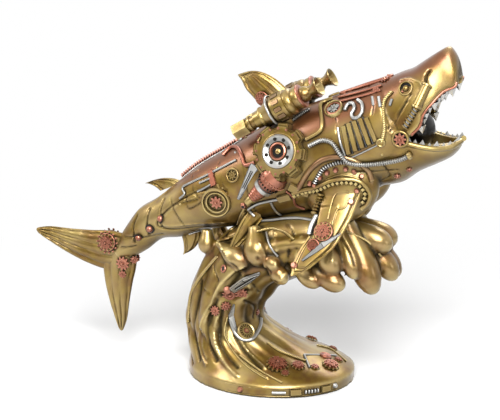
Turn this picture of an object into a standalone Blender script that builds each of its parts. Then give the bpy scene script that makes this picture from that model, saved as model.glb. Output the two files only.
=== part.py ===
"""Cast resin figurine: a clockwork shark leaping over a curling wave on an oval foot.

Metres, +Z up. The origin is the middle of the foot's flat underside. The shark's middle plane
is Y = 0 and its nose points to +X. The whole figurine is one casting, so every form is joined
into one body by Boolean unions.
"""
import math

import bmesh
import bpy
from mathutils import Matrix, Vector

NAME = "shark_figurine"

# Oval foot and the wave that rises from it
FOOT_LENGTH = 0.119
FOOT_WIDTH = 0.100
FOOT_EDGE = 0.008
NECK_LENGTH = 0.052
NECK_WIDTH = 0.056
CREST_DEPTH = 0.046
CREST_WIDTH = 0.066
WAVE_HEIGHT = 0.102
WAVE_REACH = 0.084
NECK_SET_BACK = 0.034
FLUTE_DEPTH = 0.0016
FLUTES = 7
FLUTE_FADE = 0.2

# Shark body: a straight body line at a pitch, measured from the root of the tail to the gills
BODY_LENGTH = 0.234
BODY_HEIGHT = 0.072
BODY_WIDTH = 0.062
BODY_PITCH = 25.0
TAIL_ROOT_X = -0.1168
TAIL_ROOT_Z = 0.0774

# Head: snout above the mouth, lower jaw below it
SNOUT_LENGTH = 0.057
SNOUT_HEIGHT = 0.0465
HEAD_WIDTH = 0.054
JAW_LENGTH = 0.037
JAW_DEPTH = 0.031
JAW_DROP = 32.0
LIP_THICKNESS = 0.0036
LIP_SQUARE = 0.8
HINGE_DROP = 0.42
TOOTH_LENGTH = 0.0052
TOOTH_RADIUS = 0.0019
TOOTH_SUNK = 0.6
TOOTH_INSET = 0.55
TOOTH_POINT = 0.08
UPPER_TEETH = 6
LOWER_TEETH = 6
UPPER_TOOTH_ROWS = (1.25, 4.9)
LOWER_TOOTH_ROWS = (1.3, 4.9)
EYE_RADIUS = 0.0034

# Hollow of the mouth: its sections, and its floor, roof and way out in shares and lip thicknesses
MOUTH_ROWS = 5
MOUTH_SQUARE = 0.7
THROAT_SHARE = 0.45
FLOOR_SHARE = 0.6
FLOOR_LIPS = 2.2
ROOF_SHARE = 0.3
ROOF_LIPS = 1.6
MOUTH_AHEAD = 0.5
MOUTH_LIFT_LIPS = 2.0

# Fins
FIN_THICKNESS = 0.0085
FIN_BULGE = 1.15
FIN_TAPER = 0.3
DORSAL_HEIGHT = 0.038
DORSAL_CHORD = 0.030
SECOND_DORSAL_HEIGHT = 0.007
SECOND_DORSAL_CHORD = 0.019
ANAL_HEIGHT = 0.012
ANAL_CHORD = 0.017
PELVIC_HEIGHT = 0.029
PELVIC_CHORD = 0.0156
UPPER_LOBE_LENGTH = 0.068
UPPER_LOBE_CHORD = 0.030
LOWER_LOBE_LENGTH = 0.061
LOWER_LOBE_CHORD = 0.026
PECTORAL_LENGTH = 0.068
PECTORAL_CHORD = 0.034
PECTORAL_SPREAD = 29.0
SMALL_FIN_SHARE = 0.6

# Places of the fins: shares of the body's length and height, or degrees round the flank, and the
# headings of the fins in the shark's middle plane in degrees from +X
DORSAL_PLACE = (0.760, 0.47)
SECOND_DORSAL_ALONG = 0.305
ANAL_ALONG = 0.290
TAIL_PLACE = (0.02, -0.17)
LOBE_SET_BACK = 0.42
UPPER_LOBE_HEADING = 174.3
LOWER_LOBE_HEADING = 265.4
PECTORAL_PLACE = (0.796, -0.32)
PECTORAL_SET_BACK = 0.36
PECTORAL_HEADING = 249.2
PECTORAL_SWEEP_HEADING = 185.7
PELVIC_PLACE = (0.50, -46.0)
PELVIC_AHEAD = -0.80
PELVIC_OUT = 0.40
PELVIC_UP = -0.42

# Machine parts cast on to the shark
TANK_LENGTH = 0.070
TANK_RADIUS = 0.0100
TANK_SPACING = 0.034
TANK_PITCH = 31.0
TANK_PLACE = (0.548, 0.512)
SADDLE_SHARE = 0.55
SADDLE_RISE = 0.2
SADDLE_FALL = 0.8
SADDLE_SEAT = (0.38, 0.4)
SADDLE_THICKNESS = 0.5
PORT_RADIUS = 0.0166
PORT_TOOTH = 0.0026
PORT_DEPTH = 0.0150
PORT_TEETH = 8
PORT_PLACE = (0.674, 24.0)
PORT_LIFT = 0.26
WINDOW_RADIUS = 0.0105
WINDOW_DEPTH = 0.0080
WINDOW_PLACE = (0.42, -6.0)
WINDOW_LIFT = 0.18
GAUGE_RADIUS = 0.0066
GAUGE_DEPTH = 0.0060
GAUGE_PLACE = (0.842, 47.0)
GAUGE_LIFT = 0.22
HOOD_RADIUS = 0.0270
HOOD_TUBE = 0.0034
HOOD_PLACE = (0.787, -0.36)
HOOD_BENDS = 8
HOOD_FIRST = 168.0
HOOD_STEP = 27.0
HOOD_CROWN = 3
HOOD_TUCK = 0.022
HOOD_OUT = 0.50
HOOD_AHEAD = 0.92
HOOD_HIGH = 0.80
SHOULDER_OUT = 0.30
SHOULDER_DEPTH = 0.21
SHOULDER_HIGH = 0.85
HOSE_RADIUS = 0.0017
PIPE_RADIUS = 0.0014
PIPE_STANDS_OUT = 0.4
SLAT_LENGTH = 0.0200
SLAT_WIDTH = 0.0034
SLATS = 5
SLAT_TOP = (0.886, 0.19)
SLAT_BOTTOM = (0.866, -0.05)
SLAT_TOP_PITCH = 0.0175
SLAT_BOTTOM_PITCH = 0.0220
RIB_RADIUS = 0.0018
RIB_SPREAD = 1.6
RIB_THICKNESS = 0.8
RIBS = 15
FIRST_RIB = 0.34
RIB_PITCH = 0.0135
EYE_ROW = 1.35
EYE_RISE = 0.70
EYE_OUT = 0.74
EYE_RIM = 1.5
EYE_LOOKS_OUT = 0.85
EYE_LOOKS_UP = 0.45

# Numbers of sides, the width of a slit that is closed, and the bend that still counts as flat
SLIT = 0.00002
FLAT_ANGLE = 1.5
BODY_SIDES = 24
WAVE_SIDES = 28
FIN_SIDES = 8
MOUTH_SIDES = 16
ROUND_SIDES = 16
PORT_SIDES = 18
SMALL_SIDES = 12

# Where the rings of the jaw and of the mouth's hollow start, in sides, so that no edges coincide
JAW_START = 0.3
MOUTH_START = 0.4

# Body stations: share of the length, rise, height and width as shares, and lean in degrees
BODY_ROWS = (
    (0.000, -0.19, 0.20, 0.15, 14.0),
    (0.047, -0.15, 0.26, 0.20, 24.0),
    (0.088, -0.10, 0.32, 0.26, 22.0),
    (0.151, -0.02, 0.38, 0.34, 15.0),
    (0.218, -0.03, 0.46, 0.43, 9.0),
    (0.295, 0.00, 0.53, 0.53, 5.0),
    (0.380, 0.01, 0.67, 0.67, 1.0),
    (0.508, -0.01, 0.82, 0.82, 1.0),
    (0.628, -0.01, 0.94, 0.93, 0.0),
    (0.744, -0.02, 1.00, 1.00, 1.0),
    (0.842, -0.02, 0.97, 0.99, 2.0),
    (0.929, -0.02, 0.93, 0.94, 2.0),
    (1.000, 0.00, 0.88, 0.88, 1.0),
)

# Snout stations, from the gills on: top and lip as shares ahead and up, and the half width's share
SNOUT_ROWS = (
    (-0.16, 0.65, -0.18, -0.28, 0.97),
    (0.24, 0.665, 0.28, -0.11, 0.96),
    (0.41, 0.655, 0.42, 0.06, 0.89),
    (0.56, 0.69, 0.58, 0.17, 0.77),
    (0.69, 0.72, 0.71, 0.235, 0.61),
    (0.79, 0.74, 0.84, 0.24, 0.44),
    (0.86, 0.75, 0.90, 0.41, 0.33),
    (0.905, 0.748, 0.93, 0.56, 0.20),
    (0.925, 0.735, 0.938, 0.66, 0.09),
)

# Jaw stations: shares ahead of the hinge, lip height, depth of the keel below the lip, half width
JAW_ROWS = (
    (-0.40, -0.02, 1.08, 0.94),
    (0.05, 0.09, 1.00, 0.94),
    (0.34, 0.07, 0.66, 0.88),
    (0.61, 0.06, 0.43, 0.76),
    (0.84, 0.10, 0.28, 0.54),
    (0.95, 0.18, 0.20, 0.32),
    (1.00, 0.22, 0.10, 0.13),
)

# Foot stations: share of the neck's set back, share of the height, turn in degrees, and the
# length and width as shares of the foot's; the neck's and the crest's rows follow the same order
FOOT_ROWS = (
    (0.00, 0.000, 0.0, 1.00, 1.00),
    (0.00, 0.078, 0.0, 1.005, 1.005),
    (0.12, 0.125, 0.0, 0.92, 0.90),
    (0.50, 0.200, 0.0, 0.72, 0.73),
    (0.78, 0.295, 0.0, 0.56, 0.62),
)
NECK_ROWS = (
    (1.00, 0.395, 0.0, 1.04, 1.02),
    (0.97, 0.510, 2.0, 1.00, 1.00),
    (0.83, 0.625, 12.0, 1.04, 1.02),
)
CREST_ROWS = (
    (-0.19, 0.810, 35.0, 1.16, 0.92),
    (0.10, 0.945, 65.0, 1.04, 1.00),
    (0.40, 1.000, 86.0, 1.00, 1.00),
    (0.60, 0.990, 92.0, 0.84, 0.84),
    (0.76, 0.955, 98.0, 0.58, 0.56),
    (0.86, 0.925, 100.0, 0.26, 0.26),
)

# Drops of foam on one side of the rim, mirrored to the other: root and tip, radius, how slim the
# root is as a share of it, and the thickest place as a share of the length
DROPS = (
    ((-0.0439, -0.012, 0.1059), (-0.0430, -0.015, 0.0887), 0.0064, 0.60, 0.60),
    ((-0.0333, -0.022, 0.1000), (-0.0080, -0.032, 0.0879), 0.0072, 0.30, 0.62),
    ((-0.0055, -0.024, 0.1144), (0.0015, -0.034, 0.0892), 0.0092, 0.45, 0.58),
    ((0.0017, -0.028, 0.0971), (0.0154, -0.036, 0.0887), 0.0052, 0.60, 0.60),
    ((0.0054, -0.028, 0.0945), (0.0206, -0.034, 0.0785), 0.0062, 0.50, 0.62),
    ((0.0217, -0.026, 0.0910), (0.0442, -0.034, 0.0790), 0.0064, 0.50, 0.62),
    ((0.0335, -0.026, 0.0891), (0.0618, -0.034, 0.0797), 0.0074, 0.50, 0.66),
    ((0.0410, -0.022, 0.1105), (0.0559, -0.034, 0.0879), 0.0082, 0.55, 0.62),
    ((0.0530, -0.018, 0.1162), (0.0686, -0.030, 0.0851), 0.0066, 0.60, 0.66),
    ((0.0569, -0.012, 0.1194), (0.0800, -0.022, 0.0731), 0.0100, 0.55, 0.64),
    ((0.0669, -0.003, 0.1104), (0.0904, -0.004, 0.0790), 0.0080, 0.60, 0.66),
    ((0.0499, -0.004, 0.1168), (0.0880, -0.008, 0.1028), 0.0090, 0.60, 0.70),
)
DROP_STATIONS = (0.0, 0.2, 0.42, 0.64, 0.82, 0.94, 0.99)
DROP_SIDES = 9


def clear_scene():
    """Remove every object that the file opens with."""
    for item in list(bpy.data.objects):
        bpy.data.objects.remove(item, do_unlink=True)


def new_collection(name):
    """A collection in the scene."""
    group = bpy.data.collections.new(name)
    bpy.context.scene.collection.children.link(group)
    return group


def add_object(name, mesh, group, guide=True):
    """Put a mesh in the scene, as a form to be joined unless it is the finished part."""
    item = bpy.data.objects.new(name, mesh)
    group.objects.link(item)
    if guide:
        item.hide_render = True
        item.display_type = "WIRE"
    return item


def between(rows, position, count):
    """Smooth value between table rows, at a position counted in rows (Catmull-Rom)."""
    index = min(int(position), count - 2)
    share = position - index
    before = rows[max(index - 1, 0)]
    start = rows[index]
    end = rows[index + 1]
    after = rows[min(index + 2, count - 1)]
    values = []
    for a, b, c, d in zip(before, start, end, after):
        values.append(0.5 * (2 * b + (c - a) * share
                             + (2 * a - 5 * b + 4 * c - d) * share ** 2
                             + (3 * b - a - 3 * c + d) * share ** 3))
    return values


def refine(rows, steps):
    """Rows with smooth ones added, so that there are the given steps from row to row."""
    last = len(rows) - 1
    return [between(rows, k / steps, len(rows)) for k in range(last * steps + 1)]


def loft(name, rings, group):
    """Closed skin over rings with equal counts of points, capped at both ends."""
    model = bmesh.new()
    loops = [[model.verts.new(point) for point in ring] for ring in rings]
    count = len(loops[0])
    for first, second in zip(loops, loops[1:]):
        for k in range(count):
            after = (k + 1) % count
            model.faces.new((first[k], first[after], second[after], second[k]))
    for end in (loops[0], loops[-1]):
        middle = sum((vertex.co for vertex in end), Vector()) / count
        hub = model.verts.new(middle)
        for k in range(count):
            model.faces.new((end[k], end[(k + 1) % count], hub))
    bmesh.ops.recalc_face_normals(model, faces=model.faces)
    bmesh.ops.triangulate(model, faces=model.faces)
    mesh = bpy.data.meshes.new(name)
    model.to_mesh(mesh)
    model.free()
    return add_object(name, mesh, group)


def oval(middle, side, up, half_width, above, below, count, square=1.0, start=0.5):
    """Ring of points whose upper and lower halves have their own heights."""
    points = []
    for k in range(count):
        angle = 2 * math.pi * (k + start) / count
        across = math.cos(angle)
        height = math.sin(angle)
        across = math.copysign(abs(across) ** square, across)
        reach = above if height > 0 else below
        points.append(middle + side * half_width * across + up * reach * height)
    return points


def facing(direction, up=Vector((0, 0, 1))):
    """Rotation that turns +Z to a direction, with +Y as near as can be to up."""
    z_axis = direction.normalized()
    x_axis = up.cross(z_axis).normalized()
    y_axis = z_axis.cross(x_axis)
    return Matrix((x_axis, y_axis, z_axis)).transposed().to_4x4()


def turned(name, middle, direction, profile, group, sides=ROUND_SIDES):
    """Turned solid about a direction: profile points are (radius, height), bottom to top."""
    mesh = bpy.data.meshes.new(name)
    points = [(0.0, 0.0, profile[-1][1])]
    points += [(radius, 0.0, height) for radius, height in reversed(profile)]
    points += [(0.0, 0.0, profile[0][1])]
    mesh.from_pydata(points, [(k, k + 1) for k in range(len(points) - 1)], [])
    item = add_object(name, mesh, group)
    item.matrix_world = Matrix.Translation(middle) @ facing(direction)
    screw = item.modifiers.new("turn", "SCREW")
    screw.steps = sides
    screw.render_steps = sides
    screw.use_merge_vertices = True
    screw.merge_threshold = 0.00001
    return item


def tube(name, points, radius, group, steps=2, roundness=1):
    """Round bar along a smooth path, made a closed mesh."""
    curve = bpy.data.curves.new(name, "CURVE")
    curve.dimensions = "3D"
    curve.bevel_depth = radius
    curve.bevel_resolution = roundness
    curve.use_fill_caps = True
    spline = curve.splines.new("POLY")
    path = refine([tuple(point) for point in points], steps)
    spline.points.add(len(path) - 1)
    for target, point in zip(spline.points, path):
        target.co = (*point, 1.0)
    source = bpy.data.objects.new(name + "_line", curve)
    bpy.context.scene.collection.objects.link(source)
    graph = bpy.context.evaluated_depsgraph_get()
    mesh = bpy.data.meshes.new_from_object(source.evaluated_get(graph))
    bpy.data.objects.remove(source, do_unlink=True)
    model = bmesh.new()
    model.from_mesh(mesh)
    bmesh.ops.remove_doubles(model, verts=model.verts, dist=0.00001)
    bmesh.ops.recalc_face_normals(model, faces=model.faces)
    bmesh.ops.triangulate(model, faces=model.faces)
    model.to_mesh(mesh)
    model.free()
    return add_object(name, mesh, group)


def ball(name, middle, radii, lean, group, across=8, high=6):
    """Ellipsoid that leans in the plane of the shark."""
    model = bmesh.new()
    bmesh.ops.create_uvsphere(model, u_segments=across, v_segments=high, radius=1.0)
    turn = Matrix.Rotation(math.radians(lean), 4, "Y")
    shape = Matrix.Translation(middle) @ turn @ Matrix.Diagonal((*radii, 1.0))
    bmesh.ops.transform(model, matrix=shape, verts=model.verts)
    mesh = bpy.data.meshes.new(name)
    model.to_mesh(mesh)
    model.free()
    return add_object(name, mesh, group)


# Half widths of a port tooth at its foot and at its top, as shares of the pitch
TOOTH_FOOT = 0.38
TOOTH_TOP = 0.22


def toothed_disc(name, middle, direction, radius, tooth, depth, teeth, group):
    """Disc with square teeth, its front face at the middle point."""
    model = bmesh.new()
    outline = []
    for k in range(teeth):
        for share, reach in ((-TOOTH_FOOT, radius), (-TOOTH_TOP, radius + tooth),
                             (TOOTH_TOP, radius + tooth), (TOOTH_FOOT, radius)):
            angle = 2 * math.pi * (k + share) / teeth
            outline.append(Vector((reach * math.cos(angle), reach * math.sin(angle), 0.0)))
        angle = 2 * math.pi * (k + 0.5) / teeth
        outline.append(Vector((radius * math.cos(angle), radius * math.sin(angle), 0.0)))
    mesh = bpy.data.meshes.new(name)
    front = [model.verts.new(point) for point in outline]
    back = [model.verts.new(point - Vector((0, 0, depth))) for point in outline]
    count = len(outline)
    for k in range(count):
        after = (k + 1) % count
        model.faces.new((back[k], back[after], front[after], front[k]))
    model.faces.new(front)
    model.faces.new(list(reversed(back)))
    bmesh.ops.recalc_face_normals(model, faces=model.faces)
    model.transform(Matrix.Translation(middle) @ facing(direction))
    model.to_mesh(mesh)
    model.free()
    return add_object(name, mesh, group)


class Shark:
    """Places on the shark: along the body line from the tail's root, and above it."""

    def __init__(self):
        pitch = math.radians(BODY_PITCH)
        self.origin = Vector((TAIL_ROOT_X, 0.0, TAIL_ROOT_Z))
        self.ahead = Vector((math.cos(pitch), 0.0, math.sin(pitch)))
        self.above = Vector((-math.sin(pitch), 0.0, math.cos(pitch)))
        self.origin -= self.above * BODY_ROWS[0][1] * BODY_HEIGHT

    def at(self, ahead, above, out=0.0):
        """Point at lengths ahead, above and out towards -Y."""
        return self.origin + self.ahead * ahead + self.above * above + Vector((0, -out, 0))

    def row(self, share):
        """Smooth body row at a share of the length."""
        shares = [row[0] for row in BODY_ROWS]
        share = min(max(share, 0.0), 1.0)
        index = max(k for k in range(len(shares) - 1) if shares[k] <= share)
        inner = (share - shares[index]) / (shares[index + 1] - shares[index])
        return between(BODY_ROWS, index + inner, len(BODY_ROWS))

    def section(self, row):
        """Middle of a section, the way up in it, its half width and half height."""
        share, rise, height, width, lean = row
        turn = Matrix.Rotation(-math.radians(lean), 3, "Y")
        middle = self.at(share * BODY_LENGTH, rise * BODY_HEIGHT)
        return middle, turn @ self.above, width * BODY_WIDTH / 2, height * BODY_HEIGHT / 2

    def flank(self, along, rise, side=1):
        """Skin point and way out at a length from the tail's root and a height on the body line."""
        share = along / BODY_LENGTH
        row = self.row(share)
        height = (rise - row[1] * BODY_HEIGHT) / (row[2] * BODY_HEIGHT / 2)
        return self.skin(share, math.degrees(math.asin(min(max(height, -1.0), 1.0))), side)

    def skin(self, share, angle, side=1):
        """Point on the body's skin and the way out there; angle 0 is the flank, 90 the back."""
        middle, up, half_width, half_height = self.section(self.row(share))
        turn = math.radians(angle)
        outward = Vector((0, -side, 0))
        point = middle + outward * half_width * math.cos(turn) + up * half_height * math.sin(turn)
        normal = outward * half_height * math.cos(turn) + up * half_width * math.sin(turn)
        return point, normal.normalized()


def make_wave(group):
    """Foot, neck and crest of the wave in one loft, with shallow flutes up the neck."""
    rows = []
    for back, high, turn, length, width in FOOT_ROWS:
        rows.append((-back * NECK_SET_BACK, high * WAVE_HEIGHT, turn,
                     length * FOOT_LENGTH, width * FOOT_WIDTH))
    rows[1] = (rows[1][0], FOOT_EDGE, *rows[1][2:])
    for back, high, turn, length, width in NECK_ROWS:
        rows.append((-back * NECK_SET_BACK, high * WAVE_HEIGHT, turn,
                     length * NECK_LENGTH, width * NECK_WIDTH))
    for reach, high, turn, depth, width in CREST_ROWS:
        rows.append((reach * WAVE_REACH, high * WAVE_HEIGHT, turn,
                     depth * CREST_DEPTH, width * CREST_WIDTH))
    foot = rows[:2]
    rings = []
    for ahead, high, turn, length, width in foot + refine(rows[1:], 2)[1:]:
        turn = math.radians(turn)
        along = Vector((math.cos(turn), 0.0, -math.sin(turn)))
        climb = min(max((high - FOOT_EDGE) / WAVE_HEIGHT / FLUTE_FADE, 0.0), 1.0)
        middle = Vector((ahead, 0.0, high))
        ring = []
        for k in range(WAVE_SIDES):
            angle = 2 * math.pi * k / WAVE_SIDES
            flute = FLUTE_DEPTH * climb * math.cos(FLUTES * angle)
            ring.append(middle + along * (length / 2 + flute) * math.cos(angle)
                        + Vector((0, 1, 0)) * (width / 2 + flute) * math.sin(angle))
        rings.append(ring)
    loft("wave", rings, group)


def drop_profile(length, radius, slim, belly):
    """Turned form of a drop: slim at its root, thickest at its belly and round at its tip."""
    profile = []
    for share in DROP_STATIONS:
        if share < belly:
            climb = share / belly
            swell = slim + (1 - slim) * climb * climb * (3 - 2 * climb)
        else:
            swell = math.sqrt(1 - ((share - belly) / (1 - belly)) ** 2)
        profile.append((radius * swell, length * share))
    return profile


def make_drops(group):
    """Drops of foam round the rim of the crest, on both sides."""
    for k, (root, tip, radius, slim, belly) in enumerate(DROPS):
        for side in (1, -1):
            mirror = Vector((1, side, 1))
            start = Vector(root) * mirror
            way = Vector(tip) * mirror - start
            profile = drop_profile(way.length, radius, slim, belly)
            turned(f"drop_{k}_{side}", start, way, profile, group, DROP_SIDES)


def make_body(shark, group):
    """The shark's body from the tail's root to the gills."""
    rings = []
    for row in refine(BODY_ROWS, 2):
        middle, up, half_width, half_height = shark.section(row)
        rings.append(oval(middle, Vector((0, 1, 0)), up, half_width, half_height, half_height,
                          BODY_SIDES))
    loft("body", rings, group)


def snout_row(shark, row):
    """Top and lip points and the half width of one snout station."""
    top_ahead, top_up, lip_ahead, lip_up, width = row
    top = shark.at(BODY_LENGTH + top_ahead * SNOUT_LENGTH, top_up * SNOUT_HEIGHT)
    lip = shark.at(BODY_LENGTH + lip_ahead * SNOUT_LENGTH, lip_up * SNOUT_HEIGHT)
    return top, lip, width * HEAD_WIDTH / 2


def make_snout(shark, group):
    """Snout and upper jaw, widest at the lip and nearly flat below it."""
    rings = []
    for row in SNOUT_ROWS:
        top, lip, half_width = snout_row(shark, row)
        up = (top - lip).normalized()
        rings.append(oval(lip, Vector((0, 1, 0)), up, half_width, (top - lip).length,
                          LIP_THICKNESS, BODY_SIDES, LIP_SQUARE))
    loft("snout", rings, group)


class Jaw:
    """Places on the lower jaw, whose hinge lies at the gills."""

    def __init__(self, shark):
        pitch = math.radians(BODY_PITCH - JAW_DROP)
        self.ahead = Vector((math.cos(pitch), 0.0, math.sin(pitch)))
        self.up = Vector((-math.sin(pitch), 0.0, math.cos(pitch)))
        self.hinge = shark.at(BODY_LENGTH, -JAW_DEPTH * HINGE_DROP)

    def lip(self, row):
        """Middle of the jaw at lip height, its half width and its keel's depth."""
        ahead, high, deep, width = row
        middle = self.hinge + self.ahead * ahead * JAW_LENGTH + self.up * high * JAW_DEPTH
        return middle, width * HEAD_WIDTH / 2, deep * JAW_DEPTH


def make_jaw(jaw, group):
    """Lower jaw, widest at the lip and round below."""
    rings = []
    for row in JAW_ROWS:
        middle, half_width, deep = jaw.lip(row)
        rings.append(oval(middle, Vector((0, 1, 0)), jaw.up, half_width, LIP_THICKNESS, deep,
                          BODY_SIDES, LIP_SQUARE, JAW_START))
    loft("jaw", rings, group)


def make_mouth_cutter(shark, jaw, group):
    """Hollow of the mouth, from the throat out past the lips."""
    rings = []
    wall = LIP_THICKNESS
    for k in range(MOUTH_ROWS):
        low, jaw_half, deep = jaw.lip(JAW_ROWS[k])
        top, lip, snout_half = snout_row(shark, SNOUT_ROWS[k])
        floor = low - jaw.up * max(deep - FLOOR_LIPS * wall, 0.0) * FLOOR_SHARE
        rise = min(ROOF_SHARE * (top - lip).length, ROOF_LIPS * wall)
        roof = lip + (top - lip).normalized() * rise
        half_width = max(min(jaw_half, snout_half) - wall, wall)
        narrowing = THROAT_SHARE if k == 0 else 1.0
        up = (roof - floor) / 2
        rings.append(oval((roof + floor) / 2, Vector((0, 1, 0)), up.normalized(),
                          half_width * narrowing, up.length * narrowing, up.length * narrowing,
                          MOUTH_SIDES, MOUTH_SQUARE, MOUTH_START))
    beyond = jaw.ahead * SNOUT_LENGTH * MOUTH_AHEAD + jaw.up * wall * MOUTH_LIFT_LIPS
    rings.append([point + beyond for point in rings[-1]])
    return loft("mouth_cutter", rings, group)


def make_teeth(shark, jaw, group):
    """Pointed teeth along both lips."""
    first_upper, last_upper = UPPER_TOOTH_ROWS
    first_lower, last_lower = LOWER_TOOTH_ROWS
    inset = LIP_THICKNESS * TOOTH_INSET
    for side in (1, -1):
        for k in range(UPPER_TEETH):
            position = first_upper + (last_upper - first_upper) * k / (UPPER_TEETH - 1)
            top, lip, half_width = snout_row(shark, between(SNOUT_ROWS, position, len(SNOUT_ROWS)))
            up = (top - lip).normalized()
            root = lip + Vector((0, -side, 0)) * (half_width - inset)
            tooth(f"upper_tooth_{k}_{side}", root, -up, group)
        for k in range(LOWER_TEETH):
            position = first_lower + (last_lower - first_lower) * k / (LOWER_TEETH - 1)
            middle, half_width, deep = jaw.lip(between(JAW_ROWS, position, len(JAW_ROWS)))
            root = middle + Vector((0, -side, 0)) * (half_width - inset)
            tooth(f"lower_tooth_{k}_{side}", root, jaw.up, group)


def tooth(name, root, direction, group):
    """One pointed tooth, sunk into the lip."""
    sunk = TOOTH_LENGTH * TOOTH_SUNK
    model = bmesh.new()
    bmesh.ops.create_cone(model, cap_ends=True, segments=4, radius1=TOOTH_RADIUS,
                          radius2=TOOTH_RADIUS * TOOTH_POINT, depth=TOOTH_LENGTH + sunk)
    place = Matrix.Translation(root + direction * (TOOTH_LENGTH + LIP_THICKNESS) / 2)
    bmesh.ops.transform(model, matrix=place @ facing(direction, Vector((1, 0, 0.1))),
                        verts=model.verts)
    mesh = bpy.data.meshes.new(name)
    model.to_mesh(mesh)
    model.free()
    return add_object(name, mesh, group)


def fin(name, rows, group):
    """Fin loft: each row has a leading point, a trailing point, a thickness and a way across."""
    rings = []
    for lead, trail, thickness, across in rows:
        ring = []
        for k in range(FIN_SIDES):
            angle = 2 * math.pi * (k + 0.5) / FIN_SIDES
            share = 0.5 - 0.5 * math.cos(angle)
            bulge = math.sin(angle) * (FIN_BULGE - FIN_TAPER * share)
            ring.append(lead.lerp(trail, share) + across * thickness / 2 * bulge)
        rings.append(ring)
    return loft(name, rings, group)


def swept_fin(name, root, out, back, across, height, chord, form, thickness, group):
    """Fin that stands along one way and sweeps along another, by rows of shares."""
    rows = []
    for high, lead, width, thick in form:
        start = root + out * high * height + back * lead * chord
        rows.append((start, start + back * width * chord, thick * thickness, across))
    return fin(name, rows, group)


# Fin forms: share of the height, set back of the leading edge, chord and thickness as shares
DORSAL_FORM = (
    (-0.12, -0.05, 1.10, 1.00),
    (0.27, 0.17, 0.84, 0.86),
    (0.52, 0.32, 0.78, 0.66),
    (0.70, 0.45, 0.73, 0.50),
    (0.87, 0.65, 0.54, 0.36),
    (0.97, 0.89, 0.33, 0.24),
    (1.00, 1.15, 0.07, 0.15),
)
HOOKED_FORM = (
    (-0.30, -0.05, 1.00, 1.00),
    (0.30, 0.20, 0.86, 0.80),
    (0.75, 0.55, 0.66, 0.55),
    (0.95, 0.90, 0.42, 0.35),
    (1.00, 1.28, 0.08, 0.16),
)
LOBE_FORM = (
    (-0.08, 0.00, 0.80, 1.00),
    (0.15, -0.02, 0.98, 0.92),
    (0.38, 0.06, 0.84, 0.70),
    (0.62, 0.12, 0.62, 0.50),
    (0.84, 0.16, 0.38, 0.32),
    (0.97, 0.24, 0.16, 0.20),
    (1.00, 0.28, 0.05, 0.14),
)
PECTORAL_FORM = (
    (-0.14, -0.10, 1.00, 1.10),
    (0.17, -0.14, 0.89, 1.00),
    (0.36, -0.165, 0.81, 0.85),
    (0.54, -0.14, 0.69, 0.70),
    (0.70, -0.09, 0.68, 0.58),
    (0.845, 0.09, 0.50, 0.42),
    (0.94, 0.24, 0.30, 0.30),
    (1.00, 0.456, 0.05, 0.18),
)
PELVIC_FORM = (
    (-0.14, -0.06, 1.00, 1.10),
    (0.30, 0.10, 0.84, 0.85),
    (0.66, 0.32, 0.60, 0.60),
    (0.90, 0.50, 0.34, 0.40),
    (1.00, 0.66, 0.06, 0.18),
)


def heading(degrees):
    """Way in the shark's middle plane, in degrees from +X towards +Z."""
    angle = math.radians(degrees)
    return Vector((math.cos(angle), 0.0, math.sin(angle)))


def make_fins(shark, group):
    """Dorsal, tail, anal, pelvic and pectoral fins."""
    side_way = Vector((0, 1, 0))
    back = -shark.ahead
    along, rise = DORSAL_PLACE
    root = shark.at(along * BODY_LENGTH, rise * BODY_HEIGHT)
    swept_fin("dorsal_fin", root, shark.above, back, side_way, DORSAL_HEIGHT, DORSAL_CHORD,
              DORSAL_FORM, FIN_THICKNESS, group)
    thin = FIN_THICKNESS * SMALL_FIN_SHARE
    point, out = shark.skin(SECOND_DORSAL_ALONG, 90)
    swept_fin("second_dorsal_fin", point, out, back, side_way, SECOND_DORSAL_HEIGHT,
              SECOND_DORSAL_CHORD, HOOKED_FORM, thin, group)
    point, out = shark.skin(ANAL_ALONG, -90)
    swept_fin("anal_fin", point, out, back, side_way, ANAL_HEIGHT, ANAL_CHORD,
              HOOKED_FORM, thin, group)
    along, rise = TAIL_PLACE
    root = shark.at(along * BODY_LENGTH, rise * BODY_HEIGHT)
    sweep = heading(UPPER_LOBE_HEADING + 90)
    swept_fin("upper_tail_lobe", root - sweep * UPPER_LOBE_CHORD * LOBE_SET_BACK,
              heading(UPPER_LOBE_HEADING), sweep, side_way, UPPER_LOBE_LENGTH,
              UPPER_LOBE_CHORD, LOBE_FORM, FIN_THICKNESS, group)
    sweep = heading(LOWER_LOBE_HEADING - 90)
    swept_fin("lower_tail_lobe", root - sweep * LOWER_LOBE_CHORD * LOBE_SET_BACK,
              heading(LOWER_LOBE_HEADING), sweep, side_way, LOWER_LOBE_LENGTH,
              LOWER_LOBE_CHORD, LOBE_FORM, FIN_THICKNESS, group)
    for side in (1, -1):
        make_paired_fins(shark, side, thin, group)


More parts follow.
